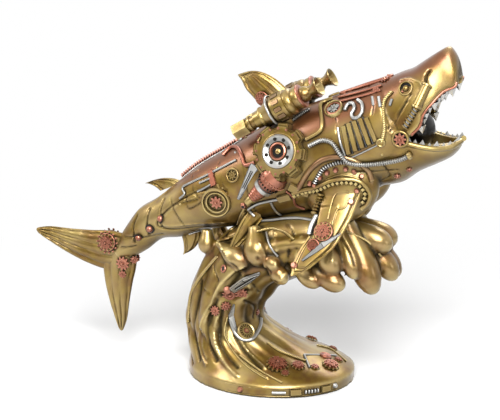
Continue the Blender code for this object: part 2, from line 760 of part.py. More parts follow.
def make_paired_fins(shark, side, thin, group):
    """Pectoral and pelvic fin of one side."""
    spread = math.radians(PECTORAL_SPREAD)
    outward = Vector((0, -side, 0))
    out = heading(PECTORAL_HEADING) * math.cos(spread) + outward * math.sin(spread)
    sweep = heading(PECTORAL_SWEEP_HEADING)
    along, rise = PECTORAL_PLACE
    root, normal = shark.flank(along * BODY_LENGTH, rise * BODY_HEIGHT, side)
    root = root - sweep * PECTORAL_CHORD * PECTORAL_SET_BACK
    swept_fin(f"pectoral_fin_{side}", root, out, sweep, out.cross(sweep).normalized(),
              PECTORAL_LENGTH, PECTORAL_CHORD, PECTORAL_FORM, FIN_THICKNESS, group)
    share, angle = PELVIC_PLACE
    root, normal = shark.skin(share, angle, side)
    out = outward * PELVIC_OUT + shark.ahead * PELVIC_AHEAD + shark.above * PELVIC_UP
    out.normalize()
    across = out.cross(shark.above).normalized()
    swept_fin(f"pelvic_fin_{side}", root + shark.above * PELVIC_CHORD / 2, out, -shark.above,
              across, PELVIC_HEIGHT, PELVIC_CHORD, PELVIC_FORM, thin, group)


# Tank profile: share of the length and share of the barrel's radius
TANK_FORM = (
    (0.00, 0.52), (0.02, 0.70), (0.15, 0.70), (0.16, 0.46), (0.26, 0.46), (0.27, 0.60),
    (0.34, 0.62), (0.42, 0.84), (0.50, 1.00), (0.64, 1.00), (0.71, 0.90), (0.72, 0.76),
    (0.79, 0.76), (0.80, 0.52), (0.86, 0.50), (0.89, 0.34), (0.92, 0.36), (1.00, 0.66),
)


def make_tanks(shark, group):
    """Twin gas tanks with nozzles, one each side of the dorsal fin."""
    pitch = math.radians(TANK_PITCH)
    direction = Vector((math.cos(pitch), 0.0, math.sin(pitch)))
    profile = [(radius * TANK_RADIUS, along * TANK_LENGTH) for along, radius in TANK_FORM]
    along, rise = TANK_PLACE
    seat = shark.at(along * BODY_LENGTH, rise * BODY_HEIGHT)
    for side in (1, -1):
        start = seat + Vector((0, -side * TANK_SPACING / 2, 0))
        turned(f"tank_{side}", start, direction, profile, group, SMALL_SIDES)
        foot = start + direction * TANK_LENGTH * SADDLE_SHARE
        seat_rise, seat_out = SADDLE_SEAT
        saddle = [foot + shark.above * TANK_RADIUS * SADDLE_RISE,
                  foot - shark.above * TANK_RADIUS * SADDLE_FALL,
                  shark.at((foot - shark.origin).dot(shark.ahead), seat_rise * BODY_HEIGHT,
                           side * TANK_SPACING * seat_out)]
        tube(f"tank_saddle_{side}", saddle, TANK_RADIUS * SADDLE_THICKNESS, group)


# Turned forms, bottom to top: share of the radius, and the height as a share of the port's lift
# or of the rim's radius; the windows' and gauges' depth stands below them
PORT_FORM = ((0.84, -1.00), (0.84, 0.40), (0.68, 0.75), (0.42, 0.60), (0.30, 0.75), (0.20, -0.20))
WINDOW_FORM = ((1.00, 0.00), (0.86, 0.12), (0.72, 0.00), (0.45, -0.05))
GAUGE_FORM = ((1.00, 0.00), (0.84, 0.18), (0.70, 0.00), (0.45, -0.05))
EYE_RIM_FORM = ((1.00, -1.50), (1.00, 0.05), (0.80, 0.25), (0.50, 0.05))


def scaled(form, radius, height):
    """Turned form at a radius and a height."""
    return [(share * radius, rise * height) for share, rise in form]


def make_ports(shark, group):
    """Toothed port, round window and gauge on each flank."""
    for side in (1, -1):
        point, normal = shark.skin(*PORT_PLACE, side)
        lift = PORT_DEPTH * PORT_LIFT
        toothed_disc(f"port_flange_{side}", point + normal * lift, normal, PORT_RADIUS,
                     PORT_TOOTH, PORT_DEPTH, PORT_TEETH, group)
        turned(f"port_ring_{side}", point + normal * lift, normal,
               scaled(PORT_FORM, PORT_RADIUS, lift), group, PORT_SIDES)
        point, normal = shark.skin(*WINDOW_PLACE, side)
        profile = [(WINDOW_RADIUS, -WINDOW_DEPTH), *scaled(WINDOW_FORM, WINDOW_RADIUS,
                                                           WINDOW_RADIUS)]
        turned(f"window_{side}", point + normal * WINDOW_RADIUS * WINDOW_LIFT, normal, profile,
               group)
        point, normal = shark.skin(*GAUGE_PLACE, side)
        profile = [(GAUGE_RADIUS, -GAUGE_DEPTH), *scaled(GAUGE_FORM, GAUGE_RADIUS, GAUGE_RADIUS)]
        turned(f"gauge_{side}", point + normal * GAUGE_RADIUS * GAUGE_LIFT, normal, profile,
               group, SMALL_SIDES)


# Pipe routes on the flank: share of the body's length and rise as a share of its height
HOSE_ROUTE = ((0.76, 0.14), (0.803, 0.14), (0.829, 0.08), (0.838, -0.03), (0.855, -0.13),
              (0.890, -0.20), (0.930, -0.235), (0.985, -0.26))
PIPE_ROUTE = ((0.765, 0.20), (0.808, 0.22), (0.825, 0.29), (0.842, 0.42), (0.860, 0.455))
COPPER_ROUTE = ((0.496, 0.35), (0.521, 0.375), (0.547, 0.36), (0.547, 0.28), (0.550, 0.18),
                (0.580, 0.17))


def make_pipes(shark, group):
    """Hood over each fin, ribbed hose and bent pipes on the flank."""
    for side in (1, -1):
        along = HOOD_PLACE[0] * BODY_LENGTH
        rise = HOOD_PLACE[1] * BODY_HEIGHT
        shoulder = shark.at(along, rise, side * SHOULDER_OUT * BODY_WIDTH)
        radii = (HOOD_RADIUS, SHOULDER_DEPTH * BODY_WIDTH, HOOD_RADIUS * SHOULDER_HIGH)
        ball(f"shoulder_{side}", shoulder, radii, -BODY_PITCH, group, 12, 8)
        hood = []
        for k in range(HOOD_BENDS):
            angle = math.radians(HOOD_FIRST - HOOD_STEP * k)
            out = HOOD_OUT - HOOD_TUCK * abs(k - HOOD_CROWN)
            hood.append(shark.at(along + math.cos(angle) * HOOD_RADIUS * HOOD_AHEAD,
                                 rise + math.sin(angle) * HOOD_RADIUS * HOOD_HIGH,
                                 side * out * BODY_WIDTH))
        tube(f"fin_hood_{side}", hood, HOOD_TUBE, group, 1, 2)
        for label, route, radius in (("hose", HOSE_ROUTE, HOSE_RADIUS),
                                     ("bent_pipe", PIPE_ROUTE, PIPE_RADIUS),
                                     ("copper_pipe", COPPER_ROUTE, PIPE_RADIUS)):
            points = []
            for share, height in route:
                spot, out = shark.flank(share * BODY_LENGTH, height * BODY_HEIGHT, side)
                points.append(spot + out * radius * PIPE_STANDS_OUT)
            tube(f"{label}_{side}", points, radius, group, 1)


def make_gills(shark, group):
    """Slanted gill slats."""
    for side in (1, -1):
        for k in range(SLATS):
            along = (SLAT_TOP[0] + SLAT_TOP_PITCH * k) * BODY_LENGTH
            upper, out = shark.flank(along, SLAT_TOP[1] * BODY_HEIGHT, side)
            along = (SLAT_BOTTOM[0] + SLAT_BOTTOM_PITCH * k) * BODY_LENGTH
            lower, out = shark.flank(along, SLAT_BOTTOM[1] * BODY_HEIGHT, side)
            middle = (upper + lower) / 2
            half = (upper - lower).normalized() * SLAT_LENGTH / 2
            tube(f"gill_slat_{k}_{side}", [middle + half, middle - half], SLAT_WIDTH / 2,
                 group, 1, 0)


def make_spine_ribs(shark, group):
    """Row of short ribs along the back between the two dorsal fins."""
    across = Vector((0, RIB_RADIUS * RIB_SPREAD, 0))
    for k in range(RIBS):
        point, out = shark.skin(FIRST_RIB + RIB_PITCH * k, 90)
        tube(f"spine_rib_{k}", [point - across, point + across],
             RIB_RADIUS * RIB_THICKNESS, group, 1, 0)


def make_eyes(shark, group):
    """Round eyes in raised rims."""
    for side in (1, -1):
        top, lip, half_width = snout_row(shark, between(SNOUT_ROWS, EYE_ROW, len(SNOUT_ROWS)))
        spot = lip.lerp(top, EYE_RISE) + Vector((0, -side * half_width * EYE_OUT, 0))
        out = Vector((0, -side, 0)) * EYE_LOOKS_OUT + shark.above * EYE_LOOKS_UP
        ball(f"eye_{side}", spot, (EYE_RADIUS, EYE_RADIUS, EYE_RADIUS), 0.0, group)
        rim = EYE_RADIUS * EYE_RIM
        turned(f"eye_rim_{side}", spot, out.normalized(), scaled(EYE_RIM_FORM, rim, rim), group,
               SMALL_SIDES)


def join(item, mode, label, collection=None, other=None):
    """Boolean modifier with the exact solver."""
    modifier = item.modifiers.new(label, "BOOLEAN")
    modifier.operation = mode
    modifier.solver = "EXACT"
    if collection:
        modifier.operand_type = "COLLECTION"
        modifier.collection = collection
    else:
        modifier.object = other
    return modifier


def antique_gold():
    """Cold-cast resin painted antique gold."""
    material = bpy.data.materials.new("antique_gold_resin")
    material.use_nodes = True
    shader = material.node_tree.nodes["Principled BSDF"]
    shader.inputs["Base Color"].default_value = (0.40, 0.27, 0.09, 1.0)
    shader.inputs["Metallic"].default_value = 0.9
    shader.inputs["Roughness"].default_value = 0.38
    return material


def main():
    clear_scene()
    model = new_collection(NAME)
    forms = new_collection("forms")
    cutters = new_collection("cutters")
    teeth = new_collection("teeth")
    shark = Shark()
    jaw = Jaw(shark)
    make_wave(forms)
    make_drops(forms)
    make_snout(shark, forms)
    make_jaw(jaw, forms)
    make_fins(shark, forms)
    make_tanks(shark, forms)
    make_ports(shark, forms)
    make_pipes(shark, forms)
    make_gills(shark, forms)
    make_spine_ribs(shark, forms)
    make_eyes(shark, forms)
    make_teeth(shark, jaw, teeth)
    hollow = make_mouth_cutter(shark, jaw, cutters)
    make_body(shark, model)
    figurine = bpy.data.objects["body"]
    figurine.name = NAME
    figurine.hide_render = False
    figurine.display_type = "TEXTURED"
    figurine.data.materials.append(antique_gold())
    join(figurine, "UNION", "join forms", collection=forms)
    join(figurine, "DIFFERENCE", "open the mouth", other=hollow)
    join(figurine, "UNION", "join teeth", collection=teeth)
    weld = figurine.modifiers.new("close slits", "WELD")
    weld.merge_threshold = SLIT
    flat = figurine.modifiers.new("merge flat faces", "DECIMATE")
    flat.decimate_type = "DISSOLVE"
    flat.angle_limit = math.radians(FLAT_ANGLE)


if __name__ == "__main__":
    main()
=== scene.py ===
"""Looks of the cast resin figurine: a clockwork shark leaping over a curling wave.

Metres, +Z up. The origin is the middle of the foot's flat underside, the shark's middle plane is
Y = 0 and its nose points to +X. Places on the shark are given in millimetres along the body line
from the tail's root and above it; both flanks carry the same ornament.
"""

import math
from itertools import product

import bmesh
import bpy
import numpy as np
from bpy.props import FloatProperty, FloatVectorProperty, IntProperty, PointerProperty
from mathutils import Matrix, Vector
from mathutils.bvhtree import BVHTree
from mathutils.kdtree import KDTree


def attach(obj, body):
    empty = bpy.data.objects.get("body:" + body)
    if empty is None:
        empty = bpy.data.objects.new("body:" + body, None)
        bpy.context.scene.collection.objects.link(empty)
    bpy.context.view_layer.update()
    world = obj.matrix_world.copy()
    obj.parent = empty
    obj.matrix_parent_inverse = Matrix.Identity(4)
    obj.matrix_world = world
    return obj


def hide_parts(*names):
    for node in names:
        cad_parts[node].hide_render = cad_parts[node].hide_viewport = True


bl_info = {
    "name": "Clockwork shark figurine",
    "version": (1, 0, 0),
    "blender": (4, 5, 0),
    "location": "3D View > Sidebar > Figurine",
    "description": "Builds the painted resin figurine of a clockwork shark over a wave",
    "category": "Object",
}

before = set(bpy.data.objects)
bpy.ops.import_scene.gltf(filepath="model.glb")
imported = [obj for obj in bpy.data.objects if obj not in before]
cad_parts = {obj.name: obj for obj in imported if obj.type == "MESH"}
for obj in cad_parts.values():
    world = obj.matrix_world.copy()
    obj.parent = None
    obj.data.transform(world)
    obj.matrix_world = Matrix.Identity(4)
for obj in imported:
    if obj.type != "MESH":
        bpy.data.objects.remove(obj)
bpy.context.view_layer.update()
CAST = "shark_figurine"
MM = 0.001
SIDES = (1, -1)
ACROSS = Vector((0, 1, 0))
# Places on the skins are looked for from this far out, and those on the foot from this high up
OUTSIDE = 0.2
ABOVE_FOOT = 0.060
ABOVE_BACK = 0.090
# Size of the voxels of the fused skins, and how low a point belongs to the flat underside
SHARK_GRAIN = 0.00095
WAVE_GRAIN = 0.0011
FLAT_BELOW = 0.0006
# Step of the points along a hose or rope, and the steps round a ring
PATH_STEP = 0.0005
RING_STEPS = 24
# Bars round each tank, and the steps of the strap round it
TANK_BARS = 12
STRAP_STEPS = 32
# Points round the forms of the shark and of the wave
SKIN_SIDES = 72
WAVE_SIDES = 168
# Rounds of smoothing that tell wide hollows from ridges, and the angle that counts as an edge
RUB_STEPS = 22
SHARP_DEGREES = 40.0

# Body stations: share of the length, rise, height and width as shares, and lean in degrees
BODY_ROWS = (
    (0.000, -0.19, 0.20, 0.15, 14.0),
    (0.047, -0.15, 0.26, 0.20, 24.0),
    (0.088, -0.10, 0.32, 0.26, 22.0),
    (0.151, -0.02, 0.38, 0.34, 15.0),
    (0.218, -0.03, 0.46, 0.43, 9.0),
    (0.295, 0.00, 0.53, 0.53, 5.0),
    (0.380, 0.01, 0.67, 0.67, 1.0),
    (0.508, -0.01, 0.82, 0.82, 1.0),
    (0.628, -0.01, 0.94, 0.93, 0.0),
    (0.744, -0.02, 1.00, 1.00, 1.0),
    (0.842, -0.02, 0.97, 0.99, 2.0),
    (0.929, -0.02, 0.93, 0.94, 2.0),
    (1.000, 0.00, 0.88, 0.88, 1.0),
)
# Snout stations, from the gills on: top and lip as shares ahead and up, and the half width's share
SNOUT_ROWS = (
    (-0.16, 0.65, -0.18, -0.28, 0.97),
    (0.24, 0.665, 0.28, -0.11, 0.96),
    (0.41, 0.655, 0.42, 0.06, 0.89),
    (0.56, 0.69, 0.58, 0.17, 0.77),
    (0.69, 0.72, 0.71, 0.235, 0.61),
    (0.79, 0.74, 0.84, 0.24, 0.44),
    (0.86, 0.75, 0.90, 0.41, 0.33),
    (0.905, 0.748, 0.93, 0.56, 0.20),
    (0.925, 0.735, 0.938, 0.66, 0.09),
)
# Jaw stations: shares ahead of the hinge, lip height, depth of the keel below the lip, half width
JAW_ROWS = (
    (-0.40, -0.02, 1.08, 0.94),
    (0.05, 0.09, 1.00, 0.94),
    (0.34, 0.07, 0.66, 0.88),
    (0.61, 0.06, 0.43, 0.76),
    (0.84, 0.10, 0.28, 0.54),
    (0.95, 0.18, 0.20, 0.32),
    (1.00, 0.22, 0.10, 0.13),
)
# Foot, neck and crest stations: set back or reach, height, turn in degrees, length and width
FOOT_ROWS = (
    (0.00, 0.000, 0.0, 1.00, 1.00),
    (0.00, 0.078, 0.0, 1.005, 1.005),
    (0.12, 0.125, 0.0, 0.92, 0.90),
    (0.50, 0.200, 0.0, 0.72, 0.73),
    (0.78, 0.295, 0.0, 0.56, 0.62),
)
NECK_ROWS = (
    (1.00, 0.395, 0.0, 1.04, 1.02),
    (0.97, 0.510, 2.0, 1.00, 1.00),
    (0.83, 0.625, 12.0, 1.04, 1.02),
)
CREST_ROWS = (
    (-0.19, 0.810, 35.0, 1.16, 0.92),
    (0.10, 0.945, 65.0, 1.04, 1.00),
    (0.40, 1.000, 86.0, 1.00, 1.00),
    (0.60, 0.990, 92.0, 0.84, 0.84),
    (0.76, 0.955, 98.0, 0.58, 0.56),
    (0.86, 0.925, 100.0, 0.26, 0.26),
)
# Fin forms: share of the height, set back of the leading edge, chord and thickness as shares
DORSAL_FORM = (
    (-0.12, -0.05, 1.10, 1.00), (0.27, 0.17, 0.84, 0.86), (0.52, 0.32, 0.78, 0.66),
    (0.70, 0.45, 0.73, 0.50), (0.87, 0.65, 0.54, 0.36), (0.97, 0.89, 0.33, 0.24),
    (1.00, 1.15, 0.07, 0.15),
)
HOOKED_FORM = (
    (-0.30, -0.05, 1.00, 1.00), (0.30, 0.20, 0.86, 0.80), (0.75, 0.55, 0.66, 0.55),
    (0.95, 0.90, 0.42, 0.35), (1.00, 1.28, 0.08, 0.16),
)
LOBE_FORM = (
    (-0.08, 0.00, 0.80, 1.00), (0.15, -0.02, 0.98, 0.92), (0.38, 0.06, 0.84, 0.70),
    (0.62, 0.12, 0.62, 0.50), (0.84, 0.16, 0.38, 0.32), (0.97, 0.24, 0.16, 0.20),
    (1.00, 0.28, 0.05, 0.14),
)
PECTORAL_FORM = (
    (-0.14, -0.10, 1.00, 1.10), (0.17, -0.14, 0.89, 1.00), (0.36, -0.165, 0.81, 0.85),
    (0.54, -0.14, 0.69, 0.70), (0.70, -0.09, 0.68, 0.58), (0.845, 0.09, 0.50, 0.42),
    (0.94, 0.24, 0.30, 0.30), (1.00, 0.456, 0.05, 0.18),
)
PELVIC_FORM = (
    (-0.14, -0.06, 1.00, 1.10), (0.30, 0.10, 0.84, 0.85), (0.66, 0.32, 0.60, 0.60),
    (0.90, 0.50, 0.34, 0.40), (1.00, 0.66, 0.06, 0.18),
)
# Foam drops on one side of the rim, mirrored to the other: root and tip, radius, how slim the
# root is as a share of it, and the thickest place as a share of the length
DROPS = (
    ((-0.0439, -0.012, 0.1059), (-0.0430, -0.015, 0.0887), 0.0064, 0.60, 0.60),
    ((-0.0333, -0.022, 0.1000), (-0.0080, -0.032, 0.0879), 0.0072, 0.30, 0.62),
    ((-0.0055, -0.024, 0.1144), (0.0015, -0.034, 0.0892), 0.0092, 0.45, 0.58),
    ((0.0017, -0.028, 0.0971), (0.0154, -0.036, 0.0887), 0.0052, 0.60, 0.60),
    ((0.0054, -0.028, 0.0945), (0.0206, -0.034, 0.0785), 0.0062, 0.50, 0.62),
    ((0.0217, -0.026, 0.0910), (0.0442, -0.034, 0.0790), 0.0064, 0.50, 0.62),
    ((0.0335, -0.026, 0.0891), (0.0618, -0.034, 0.0797), 0.0074, 0.50, 0.66),
    ((0.0410, -0.022, 0.1105), (0.0559, -0.034, 0.0879), 0.0082, 0.55, 0.62),
    ((0.0530, -0.018, 0.1162), (0.0686, -0.030, 0.0851), 0.0066, 0.60, 0.66),
    ((0.0569, -0.012, 0.1194), (0.0800, -0.022, 0.0731), 0.0100, 0.55, 0.64),
    ((0.0669, -0.003, 0.1104), (0.0904, -0.004, 0.0790), 0.0080, 0.60, 0.66),
    ((0.0499, -0.004, 0.1168), (0.0880, -0.008, 0.1028), 0.0090, 0.60, 0.70),
)


def length(name, description, default):
    """Length in metres that a user may change."""
    return FloatProperty(name=name, description=description, default=default, unit="LENGTH",
                         min=0.0001, precision=4)


def paint(name, description, hex_colour):
    """Colour that a user may change, written as an sRGB hex value."""
    return FloatVectorProperty(name=name, description=description, subtype="COLOR", size=3,
                               min=0.0, max=1.0, default=linear(hex_colour))


def linear(hex_colour):
    """Linear colour of an sRGB hex value."""
    channels = [int(hex_colour[k:k + 2], 16) / 255 for k in (1, 3, 5)]
    return tuple(c / 12.92 if c <= 0.04045 else ((c + 0.055) / 1.055) ** 2.4 for c in channels)


class SharkSizes(bpy.types.PropertyGroup):
    """Sizes of the shark's body and head"""
    body_length: length("Body length", "From the tail's root to the gills", 0.234)
    body_height: length("Body height", "Belly to back at the thickest place", 0.072)
    body_width: length("Body width", "Flank to flank at the thickest place", 0.062)
    body_pitch: FloatProperty(name="Pitch", description="Climb of the body line in degrees",
                              default=25.0)
    tail_root_x: FloatProperty(name="Tail root X", description="Place of the tail's root",
                               default=-0.1168, unit="LENGTH")
    tail_root_z: length("Tail root height", "Height of the tail's root", 0.0774)
    snout_length: length("Snout length", "From the gills to the nose", 0.057)
    snout_height: length("Snout height", "Height of the snout", 0.0465)
    head_width: length("Head width", "Width of the head", 0.054)
    jaw_length: length("Jaw length", "From the hinge to the chin", 0.037)
    jaw_depth: length("Jaw depth", "Lip to keel at the hinge", 0.031)
    jaw_drop: FloatProperty(name="Jaw drop", description="Opening of the jaw in degrees",
                            default=32.0)
    lip: length("Lip thickness", "Thickness of the lips", 0.0036)
    eye_radius: length("Eye radius", "Radius of the eyeball", 0.0034)


class FinSizes(bpy.types.PropertyGroup):
    """Sizes of the fins"""
    thickness: length("Fin thickness", "Thickness at the root", 0.0085)
    dorsal_height: length("Dorsal height", "Height of the back fin", 0.038)
    dorsal_chord: length("Dorsal chord", "Length of the back fin's root", 0.030)
    upper_lobe: length("Upper lobe", "Length of the tail's upper lobe", 0.068)
    lower_lobe: length("Lower lobe", "Length of the tail's lower lobe", 0.061)
    upper_chord: length("Upper chord", "Width of the tail's upper lobe", 0.030)
    lower_chord: length("Lower chord", "Width of the tail's lower lobe", 0.026)
    pectoral: length("Pectoral length", "Length of the side fins", 0.068)
    pectoral_chord: length("Pectoral chord", "Width of the side fins", 0.034)
    pectoral_spread: FloatProperty(name="Spread", description="Way out of the side fins, degrees",
                                   default=29.0)


class WaveSizes(bpy.types.PropertyGroup):
    """Sizes of the wave and its foot"""
    foot_length: length("Foot length", "Length of the oval foot", 0.119)
    foot_width: length("Foot width", "Width of the oval foot", 0.100)
    foot_edge: length("Foot edge", "Height of the foot's upright edge", 0.008)
    neck_length: length("Neck length", "Depth of the wave's neck", 0.052)
    neck_width: length("Neck width", "Width of the wave's neck", 0.056)
    crest_depth: length("Crest depth", "Thickness of the crest", 0.046)
    crest_width: length("Crest width", "Width of the crest", 0.066)
    height: length("Wave height", "Height of the crest's middle", 0.102)
    reach: length("Wave reach", "How far the crest reaches ahead", 0.084)
    set_back: length("Neck set back", "How far the neck stands behind the middle", 0.034)
    flute_depth: length("Flute depth", "Depth of the flutes up the neck", 0.0016)


class PaintColours(bpy.types.PropertyGroup):
    """Colours of the paints"""
    gold: paint("Antique gold", "Main paint", "#8C7028")
    # Pale brushed paint with painted highlights on raised edges
    gold_brushed_highlight: paint("Brushed gold", "Gold on raised edges", "#E6D190")
    # Dark wash, which also stands in for painted shade in the recesses
    wash_and_shade: paint("Dark wash", "Brown wash in the recesses", "#1C180B")
    copper: paint("Copper", "Copper paint of gears and pipes", "#A05A40")
    # Pale brushed paint with painted highlights on raised edges
    copper_brushed_highlight: paint("Bright copper", "Copper on raised edges", "#D39478")
    bronze: paint("Bronze", "Brown metallic sprayed on the back", "#7A4A2C")
    silver: paint("Silver", "Silver paint of hoses and rods", "#A3A29D")
    # Pale brushed paint with painted highlights on raised edges
    silver_brushed_highlight: paint("Bright silver", "Silver on raised edges", "#E2E1DC")


def settings(name):
    """One of the property groups of the scene."""
    return getattr(bpy.context.scene, name)


# Smooth rows, lofts and swept forms

def between(rows, position):
    """Smooth values between table rows, at a position counted in rows (Catmull-Rom)."""
    count = len(rows)
    index = min(int(position), count - 2)
    t = position - index
    a, b, c, d = (np.array(rows[min(max(index + k, 0), count - 1)], float) for k in (-1, 0, 1, 2))
    return 0.5 * (2 * b + (c - a) * t + (2 * a - 5 * b + 4 * c - d) * t ** 2
                  + (3 * b - a - 3 * c + d) * t ** 3)


def refine(rows, steps):
    """Rows with smooth ones added, so that there are the given steps from row to row."""
    return [between(rows, k / steps) for k in range((len(rows) - 1) * steps + 1)]


def baked(model, mesh=None):
    """Plain mesh of an edit model, which is freed."""
    mesh = mesh or bpy.data.meshes.new("form")
    model.to_mesh(mesh)
    model.free()
    return mesh


def plain_mesh(points, edges=(), faces=()):
    """Mesh of the given points, edges and faces."""
    mesh = bpy.data.meshes.new("form")
    mesh.from_pydata([tuple(point) for point in points], edges, faces)
    return mesh


def loft(rings):
    """Closed skin over rings with equal counts of points, its normals turned outwards."""
    count = len(rings[0])
    points = [point for ring in rings for point in ring]
    faces = []
    for row in range(len(rings) - 1):
        for k in range(count):
            after = (k + 1) % count
            faces.append((row * count + k, row * count + after,
                          (row + 1) * count + after, (row + 1) * count + k))
    for first in (0, (len(rings) - 1) * count):
        points.append(sum((Vector(points[first + k]) for k in range(count)), Vector()) / count)
        hub = len(points) - 1
        faces += [(first + k, first + (k + 1) % count, hub) for k in range(count)]
    mesh = plain_mesh(points, [], faces)
    model = bmesh.new()
    model.from_mesh(mesh)
    bmesh.ops.recalc_face_normals(model, faces=model.faces)
    return baked(model, mesh)


def oval(middle, side, up, half_width, above, below, count, square=1.0):
    """Ring of points whose upper and lower halves have their own heights."""
    points = []
    for k in range(count):
        angle = 2 * math.pi * (k + 0.5) / count
        across = math.copysign(abs(math.cos(angle)) ** square, math.cos(angle))
        reach = above if math.sin(angle) > 0 else below
        points.append(middle + side * half_width * across + up * reach * math.sin(angle))
    return points


def facing(direction):
    """Rotation that turns +Z to a direction, with +Y as near as can be to world up."""
    z_axis = direction.normalized()
    up = Vector((1, 0, 0)) if abs(z_axis.z) > 0.99 else Vector((0, 0, 1))
    x_axis = up.cross(z_axis).normalized()
    return Matrix((x_axis, z_axis.cross(x_axis), z_axis)).transposed().to_4x4()


def round_way(share):
    """Way out from the Z axis at a share of a full turn."""
    angle = 2 * math.pi * share
    return Vector((math.cos(angle), math.sin(angle), 0))


def dome(radius, rise, end, count, high=None):
    """Profile of a ball from its middle up to an angle, or a form of its own height both ways."""
    start = 0 if high is None else -end
    high = radius if high is None else high
    return [(radius * math.cos(a), rise + high * math.sin(a))
            for a in np.linspace(start, end, count)]


def turned(profile, middle, direction, sides):
    """Turned solid: profile points are (radius, height) from bottom to top."""
    place = Matrix.Translation(middle) @ facing(direction)
    rings = []
    for radius, height in profile:
        ring = []
        for k in range(sides):
            angle = 2 * math.pi * k / sides
            ring.append(place @ Vector((radius * math.cos(angle), radius * math.sin(angle),
                                        height)))
        rings.append(ring)
    return loft(rings)


def slab(corners, thickness, normal, bevel):
    """Flat plate over a ring of corners, with a bevelled face."""
    model = bmesh.new()
    base = [model.verts.new(corner - normal * thickness * 0.5) for corner in corners]
    face = model.faces.new(base)
    model.normal_update()
    if face.normal.dot(normal) < 0:
        face.normal_flip()
    top = bmesh.ops.extrude_face_region(model, geom=[face])
    raised = [item for item in top["geom"] if isinstance(item, bmesh.types.BMVert)]
    bmesh.ops.translate(model, verts=raised, vec=normal * thickness)
    bmesh.ops.recalc_face_normals(model, faces=model.faces)
    edges = [edge for edge in model.edges if all(vert in raised for vert in edge.verts)]
    bmesh.ops.bevel(model, geom=edges, offset=bevel, segments=2, affect="EDGES")
    model.normal_update()
    caps = [face for face in model.faces if face.normal.dot(normal) > 0.99]
    bmesh.ops.inset_individual(model, faces=caps, thickness=bevel * 1.5)
    return baked(model)


def divided(mesh, parts):
    """The same mesh with each edge in equal parts, so that the brushed paint and painted highlights
    stay on edges.
    """
    if parts < 3:
        return mesh
    model = bmesh.new()
    model.from_mesh(mesh)
    bmesh.ops.subdivide_edges(model, edges=model.edges[:], cuts=parts // 3, use_grid_fill=True)
    return baked(model, mesh)


def joined(meshes):
    """One mesh with the faces of all the given ones."""
    model = bmesh.new()
    for mesh in meshes:
        model.from_mesh(mesh)
    return baked(model)


def evaluated(mesh, *modifiers):
    """Mesh after modifiers, each given as its type and its settings."""
    item = bpy.data.objects.new("work", mesh)
    bpy.context.scene.collection.objects.link(item)
    for kind, fields in modifiers:
        modifier = item.modifiers.new(kind.lower(), kind)
        for field, value in fields.items():
            setattr(modifier, field, value)
    graph = bpy.context.evaluated_depsgraph_get()
    result = bpy.data.meshes.new_from_object(item.evaluated_get(graph))
    bpy.data.objects.remove(item, do_unlink=True)
    return result


def fused(meshes, grain, smoothing, hollow=None):
    """One closed skin round overlapping forms, with soft joints like modelled clay."""
    skin = evaluated(joined(meshes), ("REMESH", {"mode": "VOXEL", "voxel_size": grain}))
    if hollow:
        cutter = bpy.data.objects.new("hollow", hollow)
        bpy.context.scene.collection.objects.link(cutter)
        skin = evaluated(skin, ("BOOLEAN", {"operation": "DIFFERENCE", "solver": "EXACT",
                                            "object": cutter}),
                         ("REMESH", {"mode": "VOXEL", "voxel_size": grain}))
        bpy.data.objects.remove(cutter, do_unlink=True)
    return evaluated(skin, ("SMOOTH", {"factor": 0.5, "iterations": smoothing}))


def tree_of(mesh):
    """Search tree over a mesh's faces."""
    points = [vertex.co for vertex in mesh.vertices]
    return BVHTree.FromPolygons(points, [face.vertices[:] for face in mesh.polygons])


def path_through(points, step):
    """Evenly spaced points on a smooth line through the given ones."""
    fine = [Vector(point) for point in refine([tuple(point) for point in points], 12)]
    lengths = [0.0]
    for first, second in zip(fine, fine[1:]):
        lengths.append(lengths[-1] + (second - first).length)
    count = max(int(lengths[-1] / step), 2)
    result = []
    index = 0
    for k in range(count + 1):
        goal = lengths[-1] * k / count
        while index < len(lengths) - 2 and lengths[index + 1] < goal:
            index += 1
        span = lengths[index + 1] - lengths[index]
        share = (goal - lengths[index]) / span if span else 0.0
        result.append(fine[index].lerp(fine[index + 1], share))
    return result


def vertex_rows(mesh):
    """Places and normals of a mesh's vertices, as rows of three."""
    rows = []
    for source, field in ((mesh.vertices, "co"), (mesh.vertex_normals, "vector")):
        values = np.empty(len(mesh.vertices) * 3)
        source.foreach_get(field, values)
        rows.append(values.reshape(-1, 3))
    return rows


def carve(mesh, line_at, rows):
    """Press grooves in, or raise ridges, on both sides, and return where the dark wash and painted
    shade gather.

    line_at finds the places of a row's points; rows are (points, half width, height) in mm.
    """
    count = len(mesh.vertices)
    places, normals = vertex_rows(mesh)
    search = KDTree(count)
    for index, place in enumerate(places):
        search.insert(place, index)
    search.balance()
    lift = np.zeros(count)
    wash_and_shade = np.zeros(count)
    for side, (points, half_width, height) in product(SIDES, rows):
        half_width *= MM
        height *= MM
        nearest = {}
        for point in path_through(line_at(points, side), half_width * 0.5):
            for place, index, distance in search.find_range(point, half_width * 1.6):
                if distance < nearest.get(index, 1.0):
                    nearest[index] = distance
        for index, distance in nearest.items():
            form = math.exp(-(distance / half_width) ** 2 * 2.2)
            lift[index] += height * form
            # Grooves get the dark wash and painted shade
            if height < 0:
                wash_and_shade[index] = max(wash_and_shade[index], form)
    places += normals * lift[:, None]
    mesh.vertices.foreach_set("co", places.ravel())
    mesh.update()
    return wash_and_shade


def store(mesh, name, values):
    """Keep one value for each vertex as an attribute of the mesh."""
    attribute = mesh.attributes.get(name) or mesh.attributes.new(name, "FLOAT", "POINT")
    attribute.data.foreach_set("value", np.asarray(values, np.float32))


# Paints

def add_node(tree, kind, inputs=(), **fields):
    """Add a node, set its fields, and set or link its inputs."""
    node = tree.nodes.new(kind)
    for field, value in fields.items():
        setattr(node, field, value)
    for key, value in dict(inputs).items():
        if isinstance(value, bpy.types.NodeSocket):
            tree.links.new(value, node.inputs[key])
        else:
            node.inputs[key].default_value = value
    return node


# Way that the painted light comes from: faces turned away from it get painted shade, so that
# undersides stay brown
PAINTED_LIGHT_FROM = (-0.35, -0.45, 0.82)


